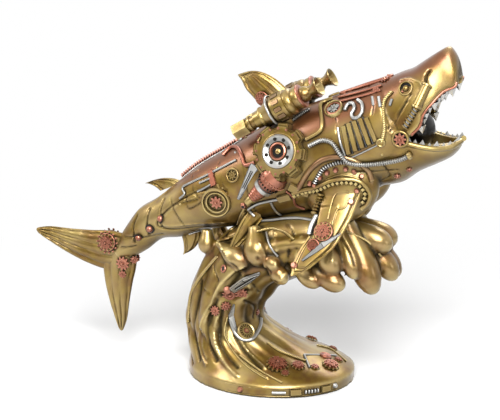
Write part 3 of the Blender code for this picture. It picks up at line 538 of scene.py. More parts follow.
def metal_paint(name, base, light, wash_and_shade, roughness, spray=None, spots_mm=7.0):
    """Metallic paint on cast resin: dark wash and painted shade in the recesses, brushed paint and
    painted highlights on raised edges, painted shade on undersides.
    """
    material = bpy.data.materials.new(name)
    material.use_nodes = True
    tree = material.node_tree
    shader = tree.nodes["Principled BSDF"]
    place = add_node(tree, "ShaderNodeTexCoord").outputs["Object"]
    grain = noise(tree, place, 0.9, 2.0)
    # Warm blotches, then broad soft patches of the pale colour as painted highlights
    uneven = [c * 0.62 for c in base] if spray is None else [c * 0.75 for c in spray]
    tone = ranged(tree, noise(tree, place, spots_mm, 3.0), 0.38, 0.68, 0.0, 0.60)
    colour = add_node(tree, "ShaderNodeMix",
                      {0: tone, 6: (*base, 1.0), 7: (*uneven, 1.0)}, data_type="RGBA")
    highlight_patches = ranged(tree, noise(tree, place, 26, 0.5), 0.56, 0.34, 0.0, 0.28)
    current = mixed(tree, highlight_patches, colour.outputs[2], light)
    if spray is not None:
        current = mixed(tree, stored(tree, "spray"), current, spray)
    # Painted shade on undersides, pale brushed paint with painted highlights on edges and ridges,
    # and the dark wash with painted shade in the recesses
    shape = add_node(tree, "ShaderNodeNewGeometry").outputs
    above = add_node(tree, "ShaderNodeVectorMath", {0: shape["Normal"], 1: PAINTED_LIGHT_FROM},
                     operation="DOT_PRODUCT").outputs["Value"]
    # Painted shade: the further a face turns from the painted light, the more it darkens towards
    # brown
    shade = ranged(tree, above, -0.55, 0.75, 0.85, 0.0, "SMOOTHSTEP")
    current = mixed(tree, shade, current, [c * 0.30 for c in base])
    # Painted highlights with brushed paint: sharp edges, by pointiness, and the stored wide ridges
    # turn pale
    current = mixed(tree, ranged(tree, shape["Pointiness"], 0.52, 0.64, 0.0, 0.55), current,
                    light)
    current = mixed(tree, stored(tree, "ridge_highlight"), current, light)
    # Dark wash with painted shade: ambient occlusion and the stored hollows darken the recesses
    recess = add_node(tree, "ShaderNodeAmbientOcclusion", {"Distance": 5.0 * MM}, samples=6)
    occlusion_shade = ranged(tree, recess.outputs["AO"], 0.30, 0.82, 0.95, 0.0)
    wash_and_shade_share = number(tree, "MAXIMUM", occlusion_shade, stored(tree, "wash_and_shade"))
    current = mixed(tree, wash_and_shade_share, current, wash_and_shade)
    tree.links.new(current, shader.inputs["Base Color"])
    # Satin varnish, duller in the wash and the painted shade
    rough = ranged(tree, wash_and_shade_share, 0.0, 1.0, roughness, 0.62)
    satin = number(tree, "MULTIPLY_ADD", grain, 0.16, rough)
    tree.links.new(satin, shader.inputs["Roughness"])
    shader.inputs["Metallic"].default_value = 0.80
    coat = number(tree, "MULTIPLY_ADD", wash_and_shade_share, -0.60, 0.60)
    tree.links.new(coat, shader.inputs["Coat Weight"])
    shader.inputs["Coat Roughness"].default_value = 0.22
    bump = add_node(tree, "ShaderNodeBump",
                    {"Strength": 0.10, "Distance": 0.3 * MM, "Height": grain})
    tree.links.new(bump.outputs["Normal"], shader.inputs["Normal"])
    return material


def noise(tree, place, size_mm, detail):
    """Noise with spots of about the given size."""
    return add_node(tree, "ShaderNodeTexNoise", {"Vector": place, "Scale": 1 / (size_mm * MM),
                                                 "Detail": detail}).outputs["Fac"]


def ranged(tree, value, low, high, at_low, at_high, kind="LINEAR"):
    """Value brought from one range to another."""
    return add_node(tree, "ShaderNodeMapRange",
                    {"Value": value, "From Min": low, "From Max": high, "To Min": at_low,
                     "To Max": at_high}, interpolation_type=kind).outputs["Result"]


def stored(tree, name):
    """Value that the mesh keeps for each vertex."""
    return add_node(tree, "ShaderNodeAttribute", attribute_name=name).outputs["Fac"]


def mixed(tree, share, first, second):
    """Mix of a colour socket and a colour or socket, by a share."""
    node = add_node(tree, "ShaderNodeMix", data_type="RGBA")
    tree.links.new(share, node.inputs[0])
    tree.links.new(first, node.inputs[6])
    if isinstance(second, bpy.types.NodeSocket):
        tree.links.new(second, node.inputs[7])
    else:
        node.inputs[7].default_value = (*second, 1.0)
    return node.outputs[2]


def make_paints():
    """All the paints, by the maker's words for them."""
    colours = settings("paint_colours")
    wash_and_shade = tuple(colours.wash_and_shade)
    black = linear("#0D0B08")
    return {
        # Cold-cast resin in antique gold: satin, olive-brown wash and painted shade in the
        # recesses, cream brushed paint and painted highlights on the edges
        "gold": metal_paint("antique_gold_paint", colours.gold, colours.gold_brushed_highlight, wash_and_shade, 0.26,
                            colours.bronze),
        # The same gold with more brown rubbed in, as on the left of the foam
        "bronze": metal_paint("bronze_paint", colours.bronze, colours.gold_brushed_highlight, wash_and_shade, 0.26),
        # Copper paint on gears and pipes: pink brushed paint and painted highlights, dark brown
        # wash and painted shade between the teeth
        "copper": metal_paint("copper_paint", colours.copper, colours.copper_brushed_highlight,
                              linear("#33150A"), 0.30, spots_mm=3.0),
        # Silver paint on hoses, rods and teeth: nearly white, grey wash and painted shade in the
        # recesses
        "silver": metal_paint("silver_paint", colours.silver, colours.silver_brushed_highlight,
                              linear("#2B2A26"), 0.24, spots_mm=4.0),
        # Black paint as painted shade: dark discs, bars and balls where holes, slots, gaps and the
        # throat would be in shade
        "black": metal_paint("black_recess_paint", black, linear("#2A261E"), black, 0.5),
    }


PAINTS = {}


def finish(name, mesh, colour):
    """Make a mesh a finished piece of the casting, in one of the paints."""
    mesh.materials.clear()
    mesh.materials.append(PAINTS[colour])
    for attribute in ("wash_and_shade", "spray", "ridge_highlight"):
        if attribute not in mesh.attributes:
            store(mesh, attribute, np.zeros(len(mesh.vertices)))
    mesh.shade_smooth()
    mesh.set_sharp_from_angle(angle=math.radians(SHARP_DEGREES))
    mesh.name = name
    piece = bpy.data.objects.new(name, mesh)
    bpy.context.scene.collection.objects.link(piece)
    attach(piece, "root")
    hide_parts(CAST)
    return piece


# Places on the shark

def body_row(share):
    """Body station at a share of the body's length."""
    shares = [row[0] for row in BODY_ROWS]
    index = max(k for k in range(len(shares) - 1) if shares[k] <= share)
    inner = (share - shares[index]) / (shares[index + 1] - shares[index])
    return between(BODY_ROWS, index + inner)


class Shark:
    """Places on the shark: along the body line from the tail's root, and above it."""

    def __init__(self):
        sizes = settings("shark_sizes")
        self.sizes = sizes
        pitch = math.radians(sizes.body_pitch)
        self.ahead = Vector((math.cos(pitch), 0.0, math.sin(pitch)))
        self.above = Vector((-math.sin(pitch), 0.0, math.cos(pitch)))
        root = Vector((sizes.tail_root_x, 0.0, sizes.tail_root_z))
        self.origin = root - self.above * BODY_ROWS[0][1] * sizes.body_height
        jaw_pitch = math.radians(sizes.body_pitch - sizes.jaw_drop)
        self.jaw_ahead = Vector((math.cos(jaw_pitch), 0.0, math.sin(jaw_pitch)))
        self.jaw_up = Vector((-math.sin(jaw_pitch), 0.0, math.cos(jaw_pitch)))
        self.hinge = self.at(sizes.body_length, -sizes.jaw_depth * 0.42)

    def at(self, ahead, above, out=0.0):
        """Point at lengths ahead, above and out towards -Y."""
        return self.origin + self.ahead * ahead + self.above * above + Vector((0, -out, 0))

    def section(self, row):
        """Middle of a section, the way up in it, its half width and half height."""
        share, rise, height, width, lean = row
        up = Matrix.Rotation(-math.radians(lean), 3, "Y") @ self.above
        middle = self.at(share * self.sizes.body_length, rise * self.sizes.body_height)
        return middle, up, width * self.sizes.body_width / 2, height * self.sizes.body_height / 2

    def snout(self, row):
        """Top and lip points and the half width of one snout station."""
        top_ahead, top_up, lip_ahead, lip_up, width = row
        sizes = self.sizes
        top = self.at(sizes.body_length + top_ahead * sizes.snout_length,
                      top_up * sizes.snout_height)
        lip = self.at(sizes.body_length + lip_ahead * sizes.snout_length,
                      lip_up * sizes.snout_height)
        return top, lip, width * sizes.head_width / 2

    def jaw(self, row):
        """Middle of the jaw at lip height, its half width and its keel's depth."""
        ahead, high, deep, width = row
        sizes = self.sizes
        middle = (self.hinge + self.jaw_ahead * ahead * sizes.jaw_length
                  + self.jaw_up * high * sizes.jaw_depth)
        return middle, width * sizes.head_width / 2, deep * sizes.jaw_depth

    def skin(self, share, degrees, side=1):
        """Point on the plain body and the way out there; 0 degrees is the flank, 90 the back."""
        middle, up, half_width, half_height = self.section(body_row(share))
        turn = math.radians(degrees)
        outward = Vector((0, -side, 0))
        point = middle + outward * half_width * math.cos(turn) + up * half_height * math.sin(turn)
        normal = outward * half_height * math.cos(turn) + up * half_width * math.sin(turn)
        return point, normal.normalized()


class Surface:
    """Finds places on a finished skin from outside it."""

    def __init__(self, mesh, shark=None):
        self.tree = tree_of(mesh)
        self.shark = shark

    def cast(self, start, direction, lift=0.0):
        """First point met, lifted by millimetres, and the way out there."""
        place, normal = self.tree.ray_cast(start, direction)[:2]
        if place is None:
            place, normal = self.tree.find_nearest(start + direction * OUTSIDE)[:2]
        return place + normal * lift * MM, normal

    def flank(self, along, rise, side, lift=0.0):
        """Point on the shark's flank at millimetres along and above the body line."""
        start = self.shark.at(along * MM, rise * MM, side * OUTSIDE)
        return self.cast(start, Vector((0, side, 0)), lift)

    def side(self, x, z, side, lift=0.0):
        """Point on the wave's side at world millimetres."""
        start = Vector((x * MM, -side * OUTSIDE, z * MM))
        return self.cast(start, Vector((0, side, 0)), lift)

    def top(self, x, y, lift=0.0):
        """Point on top of the foot at world millimetres, met from under the shark."""
        return self.cast(Vector((x * MM, y * MM, ABOVE_FOOT)), Vector((0, 0, -1)), lift)

    def flank_ends(self, first, second, side, lift):
        """Places on the flank of a bar's two ends, and the way out at the second."""
        end, out = self.flank(*second, side, lift)
        return self.flank(*first, side, lift)[0], end, out

    def flank_line(self, points, side, lift=0.0):
        """Places on the flank for a list of points."""
        return [self.flank(along, rise, side, lift)[0] for along, rise in points]

    def side_line(self, points, side, lift=0.0):
        """Places on the wave's side for a list of points."""
        return [self.side(x, z, side, lift)[0] for x, z in points]

    def top_line(self, points, lift):
        """Places on top of the foot for a list of points."""
        return [self.top(x, y, lift)[0] for x, y in points]


MADE = {}


class Group:
    """Meshes of one group of ornament, kept apart by paint."""

    def __init__(self, name):
        self.name = name
        self.parts = {}

    def add(self, colour, mesh):
        """Put a mesh in the group."""
        self.parts.setdefault(colour, []).append(mesh)

    def finish(self):
        """Make one piece of each paint."""
        for colour, meshes in self.parts.items():
            finish(f"{self.name}_{colour}", joined(meshes), colour)

    def grow(self, kind, source, colour, **values):
        """Add what a node tree makes from a source mesh."""
        item = bpy.data.objects.new("work", source)
        bpy.context.scene.collection.objects.link(item)
        modifier = item.modifiers.new("nodes", "NODES")
        modifier.node_group = TREES[kind]
        values["Paint"] = PAINTS[colour]
        for socket in TREES[kind].interface.items_tree:
            if socket.in_out == "INPUT" and socket.name in values:
                modifier[socket.identifier] = values[socket.name]
        graph = bpy.context.evaluated_depsgraph_get()
        self.add(colour, bpy.data.meshes.new_from_object(item.evaluated_get(graph)))
        bpy.data.objects.remove(item, do_unlink=True)

    def hose(self, colour, points, radius_mm, pitch_mm, depth):
        """Ribbed hose along points."""
        self.grow("ribbed", line_mesh(points), colour, Radius=radius_mm * MM,
                  Pitch=pitch_mm * MM, Depth=depth)

    def rod(self, colour, points, radius_mm):
        """Plain round rod along points."""
        self.hose(colour, points, radius_mm, 3.0, 0.0)

    def rope(self, colour, points, radius_mm):
        """Twisted rope along points."""
        self.grow("strung", line_mesh(points), colour, Pitch=radius_mm * 0.95 * MM,
                  Length=radius_mm * 1.15 * MM, Radius=radius_mm * 0.62 * MM, Tilt=0.85)

    def spring(self, colour, points, radius_mm, pitch_mm=1.9):
        """Coil spring along points, as flat beads across the line."""
        self.grow("strung", line_mesh(points), colour, Pitch=pitch_mm * MM,
                  Length=pitch_mm * 0.40 * MM, Radius=radius_mm * MM, Tilt=0.16)

    def studs(self, colour, spots, sides=12, top=0.55, bottom=1.0, depth=0.9):
        """Studs, screws or teeth on spots; the forms are shares of each spot's size."""
        self.grow("studs", point_mesh(spots), colour, Sides=sides, Top=top, Bottom=bottom,
                  Depth=depth)

    def gears(self, colour, spots, teeth, root, thickness):
        """Gear wheels on spots."""
        self.grow("gears", point_mesh(spots), colour, Teeth=teeth, Root=root,
                  Thickness=thickness)

    def ring(self, colour, spot, radius_mm, tube_mm):
        """Round ring lying on a spot."""
        place, normal = spot
        turn = facing(normal).to_3x3()
        self.rod(colour, [place + turn @ round_way(k / RING_STEPS) * radius_mm * MM
                          for k in range(RING_STEPS + 1)], tube_mm)

    def disc(self, colour, spot, radius_mm, sides, depth):
        """Flat disc on a spot, such as a black disc of painted shade for a hole; its depth is a
        share of its radius.
        """
        self.studs(colour, [(*spot, radius_mm)], sides, 1.0, 1.0, depth)

    def dish(self, colour, spot, profile_mm, wide=1.0, sides=40):
        """Turned form on a spot: its profile in millimetres, or as shares of how wide it is."""
        place, normal = spot
        self.add(colour, turned([(radius * wide * MM, high * MM) for radius, high in profile_mm],
                                place, normal, sides))

    def wedge(self, colour, first, second, normal, widths_mm, thick_mm, bevel_mm=0.3):
        """Flat bar that tapers from one place to another."""
        along = (second - first).normalized()
        across = along.cross(normal).normalized() * MM / 2
        out = across.cross(along).normalized()
        if out.dot(normal) < 0:
            out = -out
        wide, narrow = across * widths_mm[0], across * widths_mm[1]
        corners = [first + wide, second + narrow, second - narrow, first - wide]
        self.add(colour, slab(corners, thick_mm * MM, out, bevel_mm * MM))

    def bar(self, colour, first, second, normal, width_mm, thick_mm, bevel_mm=0.25):
        """Flat bar between two places."""
        self.wedge(colour, first, second, normal, (width_mm, width_mm), thick_mm, bevel_mm)

    def rosette(self, spot, radius_mm, teeth=12):
        """Copper gear on a brass toothed ring, with small wheels on it like petals."""
        place, normal = spot
        self.gears("gold", [(place, normal, radius_mm)], teeth, 0.84, 0.16)
        lifted = place + normal * 0.12 * radius_mm * MM
        self.gears("copper", [(lifted, normal, radius_mm * 0.86)], teeth, 0.80, 0.20)
        petals = on_ring(spot, radius_mm * 0.44, 5, radius_mm * 0.30, 0.3, radius_mm * 0.30)
        self.gears("copper", petals, 7, 0.72, 0.40)


# Node trees for what repeats

def new_tree(name, numbers):
    """Geometry node tree with named inputs; returns the tree, its input and its output node."""
    tree = bpy.data.node_groups.new(name, "GeometryNodeTree")
    tree.interface.new_socket("Geometry", in_out="INPUT", socket_type="NodeSocketGeometry")
    for label, kind in numbers:
        tree.interface.new_socket(label, in_out="INPUT", socket_type=kind)
    tree.interface.new_socket("Paint", in_out="INPUT", socket_type="NodeSocketMaterial")
    tree.interface.new_socket("Geometry", in_out="OUTPUT", socket_type="NodeSocketGeometry")
    return tree, tree.nodes.new("NodeGroupInput").outputs


def end_tree(tree, geometry, paint_socket):
    """Make instances real, set the paint and end the tree."""
    real = add_node(tree, "GeometryNodeRealizeInstances", {"Geometry": geometry})
    painted = add_node(tree, "GeometryNodeSetMaterial",
                       {"Geometry": real.outputs[0], "Material": paint_socket})
    add_node(tree, "NodeGroupOutput", {"Geometry": painted.outputs[0]})
    return tree


def number(tree, operation, *values):
    """Result of a sum on numbers."""
    return add_node(tree, "ShaderNodeMath", dict(enumerate(values)), operation=operation).outputs[0]


def ribbed_tree():
    """Tube along a line, with ribs round it."""
    floats = [(label, "NodeSocketFloat") for label in ("Radius", "Pitch", "Depth")]
    tree, given = new_tree("ribbed_tube", floats)
    curve = add_node(tree, "GeometryNodeMeshToCurve", {"Mesh": given["Geometry"]})
    step = number(tree, "MULTIPLY", given["Pitch"], 0.2)
    even = add_node(tree, "GeometryNodeResampleCurve",
                    {"Curve": curve.outputs[0], "Length": step}, mode="LENGTH")
    along = add_node(tree, "GeometryNodeSplineParameter").outputs["Length"]
    turns = number(tree, "DIVIDE", number(tree, "MULTIPLY", along, 2 * math.pi), given["Pitch"])
    wave = number(tree, "SUBTRACT", number(tree, "SINE", turns), 1.0)
    scale = number(tree, "MULTIPLY_ADD", wave, given["Depth"], 1.0)
    circle = add_node(tree, "GeometryNodeCurvePrimitiveCircle",
                      {"Resolution": 12, "Radius": given["Radius"]})
    tube = add_node(tree, "GeometryNodeCurveToMesh",
                    {"Curve": even.outputs[0], "Profile Curve": circle.outputs[0],
                     "Scale": scale, "Fill Caps": True})
    return end_tree(tree, tube.outputs[0], given["Paint"])


def strung_tree():
    """Beads strung along a line, each turned away from it: a twisted rope, links or a spring."""
    floats = [(label, "NodeSocketFloat") for label in ("Pitch", "Length", "Radius", "Tilt")]
    tree, given = new_tree("strung_beads", floats)
    curve = add_node(tree, "GeometryNodeMeshToCurve", {"Mesh": given["Geometry"]})
    spots = add_node(tree, "GeometryNodeCurveToPoints",
                     {"Curve": curve.outputs[0], "Length": given["Pitch"]}, mode="LENGTH")
    bead = add_node(tree, "GeometryNodeMeshIcoSphere", {"Radius": 1.0, "Subdivisions": 2})
    tilt = add_node(tree, "ShaderNodeCombineXYZ", {"X": given["Tilt"]})
    turn = add_node(tree, "FunctionNodeRotateRotation",
                    {0: spots.outputs["Rotation"], 1: tilt.outputs[0]}, rotation_space="LOCAL")
    size = add_node(tree, "ShaderNodeCombineXYZ",
                    {"X": given["Radius"], "Y": given["Radius"], "Z": given["Length"]})
    beads = add_node(tree, "GeometryNodeInstanceOnPoints",
                     {"Points": spots.outputs[0], "Instance": bead.outputs[0],
                      "Rotation": turn.outputs[0], "Scale": size.outputs[0]})
    return end_tree(tree, beads.outputs[0], given["Paint"])


def on_spots(tree, spots, form):
    """A form on each spot, turned to the spot's own way out and of its own size."""
    aim = add_node(tree, "GeometryNodeInputNamedAttribute", {"Name": "aim"},
                   data_type="FLOAT_VECTOR").outputs[0]
    size = add_node(tree, "GeometryNodeInputNamedAttribute", {"Name": "size"},
                    data_type="FLOAT").outputs[0]
    turn = add_node(tree, "FunctionNodeAlignRotationToVector", {"Vector": aim}, axis="Z")
    return add_node(tree, "GeometryNodeInstanceOnPoints",
                    {"Points": spots, "Instance": form.outputs[0],
                     "Rotation": turn.outputs[0], "Scale": size}).outputs[0]


def studs_tree():
    """Cones or short cylinders standing on points, along each point's own way out."""
    floats = [(label, "NodeSocketFloat") for label in ("Top", "Bottom", "Depth")]
    tree, given = new_tree("studs", [("Sides", "NodeSocketInt"), *floats])
    stud = add_node(tree, "GeometryNodeMeshCone",
                    {"Vertices": given["Sides"], "Radius Top": given["Top"],
                     "Radius Bottom": given["Bottom"], "Depth": given["Depth"]})
    return end_tree(tree, on_spots(tree, given["Geometry"], stud), given["Paint"])


def gears_tree():
    """Gear wheels lying on points: a toothed plate with a raised ring and a hub."""
    floats = [(label, "NodeSocketFloat") for label in ("Root", "Thickness")]
    tree, given = new_tree("gears", [("Teeth", "NodeSocketInt"), *floats])
    corners = number(tree, "MULTIPLY", given["Teeth"], 4.0)
    outline = add_node(tree, "GeometryNodeMeshCircle", {"Vertices": corners, "Radius": 1.0},
                       fill_type="NGON")
    index = add_node(tree, "GeometryNodeInputIndex").outputs[0]
    low = number(tree, "GREATER_THAN", number(tree, "MODULO", index, 4.0), 1.5)
    sunk = number(tree, "MULTIPLY", low, number(tree, "SUBTRACT", given["Root"], 1.0))
    place = add_node(tree, "GeometryNodeInputPosition").outputs[0]
    offset = add_node(tree, "ShaderNodeVectorMath", {0: place, "Scale": sunk}, operation="SCALE")
    toothed = add_node(tree, "GeometryNodeSetPosition",
                       {"Geometry": outline.outputs[0], "Offset": offset.outputs[0]})
    plate = add_node(tree, "GeometryNodeExtrudeMesh",
                     {"Mesh": toothed.outputs[0], "Offset Scale": given["Thickness"]})
    under = add_node(tree, "GeometryNodeFlipFaces", {"Mesh": toothed.outputs[0]})
    sheets = add_node(tree, "GeometryNodeJoinGeometry")
    tree.links.new(plate.outputs[0], sheets.inputs[0])
    tree.links.new(under.outputs[0], sheets.inputs[0])
    wheel = add_node(tree, "GeometryNodeMergeByDistance",
                     {"Geometry": sheets.outputs[0], "Distance": 0.0001})
    ring_path = add_node(tree, "GeometryNodeCurvePrimitiveCircle",
                         {"Resolution": 20, "Radius": 0.52})
    ring_form = add_node(tree, "GeometryNodeCurvePrimitiveCircle",
                         {"Resolution": 6, "Radius": 0.10})
    ring = add_node(tree, "GeometryNodeCurveToMesh",
                    {"Curve": ring_path.outputs[0], "Profile Curve": ring_form.outputs[0]})
    hub = add_node(tree, "GeometryNodeMeshCone",
                   {"Vertices": 8, "Radius Top": 0.12, "Radius Bottom": 0.24, "Depth": 0.3})
    raised = add_node(tree, "ShaderNodeCombineXYZ", {"Z": given["Thickness"]})
    parts = add_node(tree, "GeometryNodeJoinGeometry")
    for solid in (ring, hub):
        lifted = add_node(tree, "GeometryNodeTransform",
                          {"Geometry": solid.outputs[0], "Translation": raised.outputs[0]})
        tree.links.new(lifted.outputs[0], parts.inputs[0])
    tree.links.new(wheel.outputs[0], parts.inputs[0])
    return end_tree(tree, on_spots(tree, given["Geometry"], parts), given["Paint"])


TREES = {}


def line_mesh(points):
    """Mesh of the edges along a smooth path through points."""
    path = path_through(points, PATH_STEP)
    return plain_mesh(path, [(k, k + 1) for k in range(len(path) - 1)])


def point_mesh(spots):
    """Mesh of loose points: each is a place, a way out and a size in millimetres."""
    mesh = plain_mesh([place for place, normal, size in spots])
    aims = mesh.attributes.new("aim", "FLOAT_VECTOR", "POINT")
    aims.data.foreach_set("vector", [part for place, normal, size in spots for part in normal])
    sizes = mesh.attributes.new("size", "FLOAT", "POINT")
    sizes.data.foreach_set("value", [size * MM for place, normal, size in spots])
    return mesh


# Shark skin

def mouth_hollow(shark):
    """Hollow of the mouth, from the throat out past the lips."""
    rings = []
    wall = shark.sizes.lip
    for k in range(17):
        position = k / 4
        low, jaw_half, deep = shark.jaw(between(JAW_ROWS, position))
        top, lip, snout_half = shark.snout(between(SNOUT_ROWS, position))
        floor = low - shark.jaw_up * max(deep - 2.2 * wall, 0.0) * 0.6
        roof = lip + (top - lip).normalized() * min(0.3 * (top - lip).length, 1.6 * wall)
        half_width = max(min(jaw_half, snout_half) - wall, wall)
        narrowing = 0.45 + 0.55 * min(position, 1.0)
        up = (roof - floor) / 2
        rings.append(oval((roof + floor) / 2, ACROSS, up.normalized(), half_width * narrowing,
                          up.length * narrowing, up.length * narrowing, 48, 0.7))
    beyond = shark.jaw_ahead * shark.sizes.snout_length * 0.5 + shark.jaw_up * wall * 2
    rings.append([point + beyond for point in rings[-1]])
    return loft(rings)


def shark_forms(shark):
    """Body, snout, jaw and shoulders, before they are fused."""
    body = []
    for row in refine(BODY_ROWS, 6):
        middle, up, half_width, half_height = shark.section(row)
        body.append(oval(middle, ACROSS, up, half_width, half_height, half_height,
                         SKIN_SIDES))
    snout = []
    for row in refine(SNOUT_ROWS, 6):
        top, lip, half_width = shark.snout(row)
        snout.append(oval(lip, ACROSS, (top - lip).normalized(), half_width,
                          (top - lip).length, shark.sizes.lip, SKIN_SIDES, 0.8))
    jaw = []
    for row in refine(JAW_ROWS, 6):
        middle, half_width, deep = shark.jaw(row)
        jaw.append(oval(middle, ACROSS, shark.jaw_up, half_width, shark.sizes.lip, deep,
                        SKIN_SIDES, 0.8))
    return [loft(body), loft(snout), loft(jaw)]


def add_shoulders(shark, forms):
    """Swellings under the hoods, where the side fins are let in."""
    for side in SIDES:
        model = bmesh.new()
        bmesh.ops.create_uvsphere(model, u_segments=48, v_segments=32, radius=1.0)
        middle = shark.at(184.2 * MM, -26.0 * MM, side * 18.6 * MM)
        shape = (Matrix.Translation(middle)
                 @ Matrix.Rotation(-math.radians(shark.sizes.body_pitch), 4, "Y")
                 @ Matrix.Diagonal((0.0262, 0.0130, 0.0222, 1.0)))
        model.transform(shape)
        forms.append(baked(model))
    return forms


# Grooves on each flank: points along and above the body line, half width and height in millimetres
FLANK_GROOVES = (
    # Seams of the flank's panels
    (((132, 31), (128, 18), (124, 2), (121, -16), (120, -27)), 0.9, -0.9),
    (((64, 19), (62, 8), (63, -6), (66, -17)), 0.9, -0.8),
    (((64, 6), (74, 5), (84, 4)), 0.7, -0.6),
    (((108, 22), (107, 8), (109, 3)), 0.7, -0.6),
    (((84, 20), (83, 10), (86, 5)), 0.7, -0.6),
    (((200, -17), (214, -23), (226, -27)), 0.8, -0.8),
    (((219.3, -18.6), (218.5, -28.7), (210.6, -30.4)), 0.8, -0.8),
    (((196, 33), (201, 20), (200, 12)), 0.8, -0.8),
    (((226, 31), (229, 22), (226, 14)), 0.8, -0.7),
    # The smooth flank shell, which ends in a rounded leaf
    (((108, 2), (92, 8.5), (72, 8), (54, 3.5), (44, -3), (52, -9.5), (70, -15), (94, -22)),
     1.0, -1.1),
    # Belly plate's edge and its cross seams
    (((94, -21), (112, -27), (132, -31), (150, -33), (166, -34)), 1.0, -1.1),
    (((132, -31), (130, -36)), 0.7, -0.6),
    (((112, -27), (110, -32)), 0.7, -0.6),
    (((150, -33), (149, -37)), 0.7, -0.6),
    # Cuts on the tail stock, darkened by the dark wash and painted shade
    (((30, 8), (24, 2), (22, -4), (20, -9)), 1.2, -1.5),
    (((42, 9), (37, 2), (34, -8)), 1.2, -1.5),
    (((56, 12), (51, 6), (47, -6)), 1.1, -1.3),
    (((14, -3), (22, -6), (32, -9), (44, -11)), 0.9, -0.8),
    (((8, -9), (14, -11), (20, -12)), 0.8, -0.8),
    # Nostril, cheek and brow
    (((270.6, 25.6), (268.4, 24.0), (267.0, 21.6), (266.4, 19.4)), 1.3, -1.9),
    (((254.6, 16.6), (244.6, 9.6), (233.5, 1.4)), 0.9, -1.0),
    (((251, 13.4), (241.5, 6), (234, -0.6)), 0.8, -0.9),
    (((76.0, 12.8), (75.3, 8.2), (74.6, -0.2), (88.8, 1.9)), 0.7, -0.8),
    (((270, 6), (262, 3), (258, -4)), 0.8, -0.7),
    (((234, 12), (238, 4), (238, -2)), 0.7, -0.6),
)
FLANK_RIDGES = (
    (((108, -1), (92, 5.5), (72, 5.5), (56, 2), (48, -3), (55, -7.5), (72, -12), (94, -19)),
     1.0, 0.5),
    (((96, -23), (112, -29), (132, -33.2), (150, -35), (166, -36)), 1.0, 0.5),
    (((250, 27), (256, 26), (262, 22), (264, 17)), 1.4, 0.9),
    (((30, 10), (48, 13), (66, 18), (90, 22)), 1.1, 0.6),
)


def sprayed(shark, mesh):
    """Where copper brown is sprayed on the back and the top of the snout."""
    values = []
    for vertex in mesh.vertices:
        offset = vertex.co - shark.origin
        along = offset.dot(shark.ahead) / MM
        rise = offset.dot(shark.above) / MM
        start = 13.0 if along < 236 else 13.0 + min((along - 236) * 0.5, 9.0)
        values.append(min(max((rise - start) / 7.0, 0.0), 0.95))
    return values


def rub(mesh, wash_and_shade):
    """Store where the dark wash and painted shade stay in wide hollows, and where wide ridges are
    rubbed bright with painted highlights.
    """
    count = len(mesh.vertices)
    points, normals = vertex_rows(mesh)
    ends = np.empty(len(mesh.edges) * 2, dtype=np.int64)
    mesh.edges.foreach_get("vertices", ends)
    first = np.concatenate((ends[0::2], ends[1::2]))
    second = np.concatenate((ends[1::2], ends[0::2]))
    shares = np.bincount(first, minlength=count)
    smooth = points.copy()
    for axis in (0, 1, 2) * RUB_STEPS:
        total = np.bincount(first, weights=smooth[second, axis], minlength=count)
        smooth[:, axis] += 0.8 * (total / shares - smooth[:, axis])
    deep = ((smooth - points) * normals).sum(axis=1) / MM
    # Dark wash and painted shade in wide hollows
    hollow = np.clip((deep - 0.06) / 0.55, 0.0, 1.0) * 0.88
    store(mesh, "wash_and_shade", np.maximum(hollow, np.asarray(wash_and_shade) * 0.85))
    # Brushed paint with painted highlights on wide ridges
    store(mesh, "ridge_highlight", np.clip((-deep - 0.30) / 1.5, 0.0, 1.0) * 0.65)


def make_shark_skin():
    """Fuse the shark's forms and carve its seams."""
    shark = Shark()
    forms = add_shoulders(shark, shark_forms(shark))
    skin = fused(forms, SHARK_GRAIN, 5, mouth_hollow(shark))
    plain = Surface(skin, shark)
    rub(skin, carve(skin, plain.flank_line, FLANK_GROOVES + FLANK_RIDGES))
    store(skin, "spray", sprayed(shark, skin))
    MADE["shark"] = Surface(skin, shark)
    finish("shark_skin", skin, "gold")


# Wave

def wave_form():
    """Foot, neck and crest of the wave in one loft, with strands up the neck."""
    sizes = settings("wave_sizes")
    rows = []
    for back, high, turn, long, wide in FOOT_ROWS:
        rows.append((-back * sizes.set_back, high * sizes.height, turn,
                     long * sizes.foot_length, wide * sizes.foot_width))
    rows[1] = (rows[1][0], sizes.foot_edge, *rows[1][2:])
    for back, high, turn, long, wide in NECK_ROWS:
        rows.append((-back * sizes.set_back, high * sizes.height, turn,
                     long * sizes.neck_length, wide * sizes.neck_width))
    for reach, high, turn, deep, wide in CREST_ROWS:
        rows.append((reach * sizes.reach, high * sizes.height, turn,
                     deep * sizes.crest_depth, wide * sizes.crest_width))
    foot = [rows[0], [0.0, sizes.foot_edge * 0.5, *rows[0][2:]]]
    rings = []
    for ahead, high, turn, long, wide in foot + refine(rows[1:], 6):
        turn = math.radians(turn)
        along = Vector((math.cos(turn), 0.0, -math.sin(turn)))
        climb = min(max((high - sizes.foot_edge) / sizes.height / 0.2, 0.0), 1.0)
        middle = Vector((ahead, 0.0, high))
        points = []
        for k in range(WAVE_SIDES):
            angle = 2 * math.pi * k / WAVE_SIDES
            twist = angle + 0.9 * high / sizes.height
            strands = abs(math.cos(6.5 * twist)) ** 0.7 - 0.55
            flute = (sizes.flute_depth * climb * (math.cos(7 * angle) * 0.7 + strands * 1.3))
            points.append(middle + along * (long / 2 + flute) * math.cos(angle)
                          + ACROSS * (wide / 2 + flute) * math.sin(angle))
        rings.append(points)
    return loft(rings)


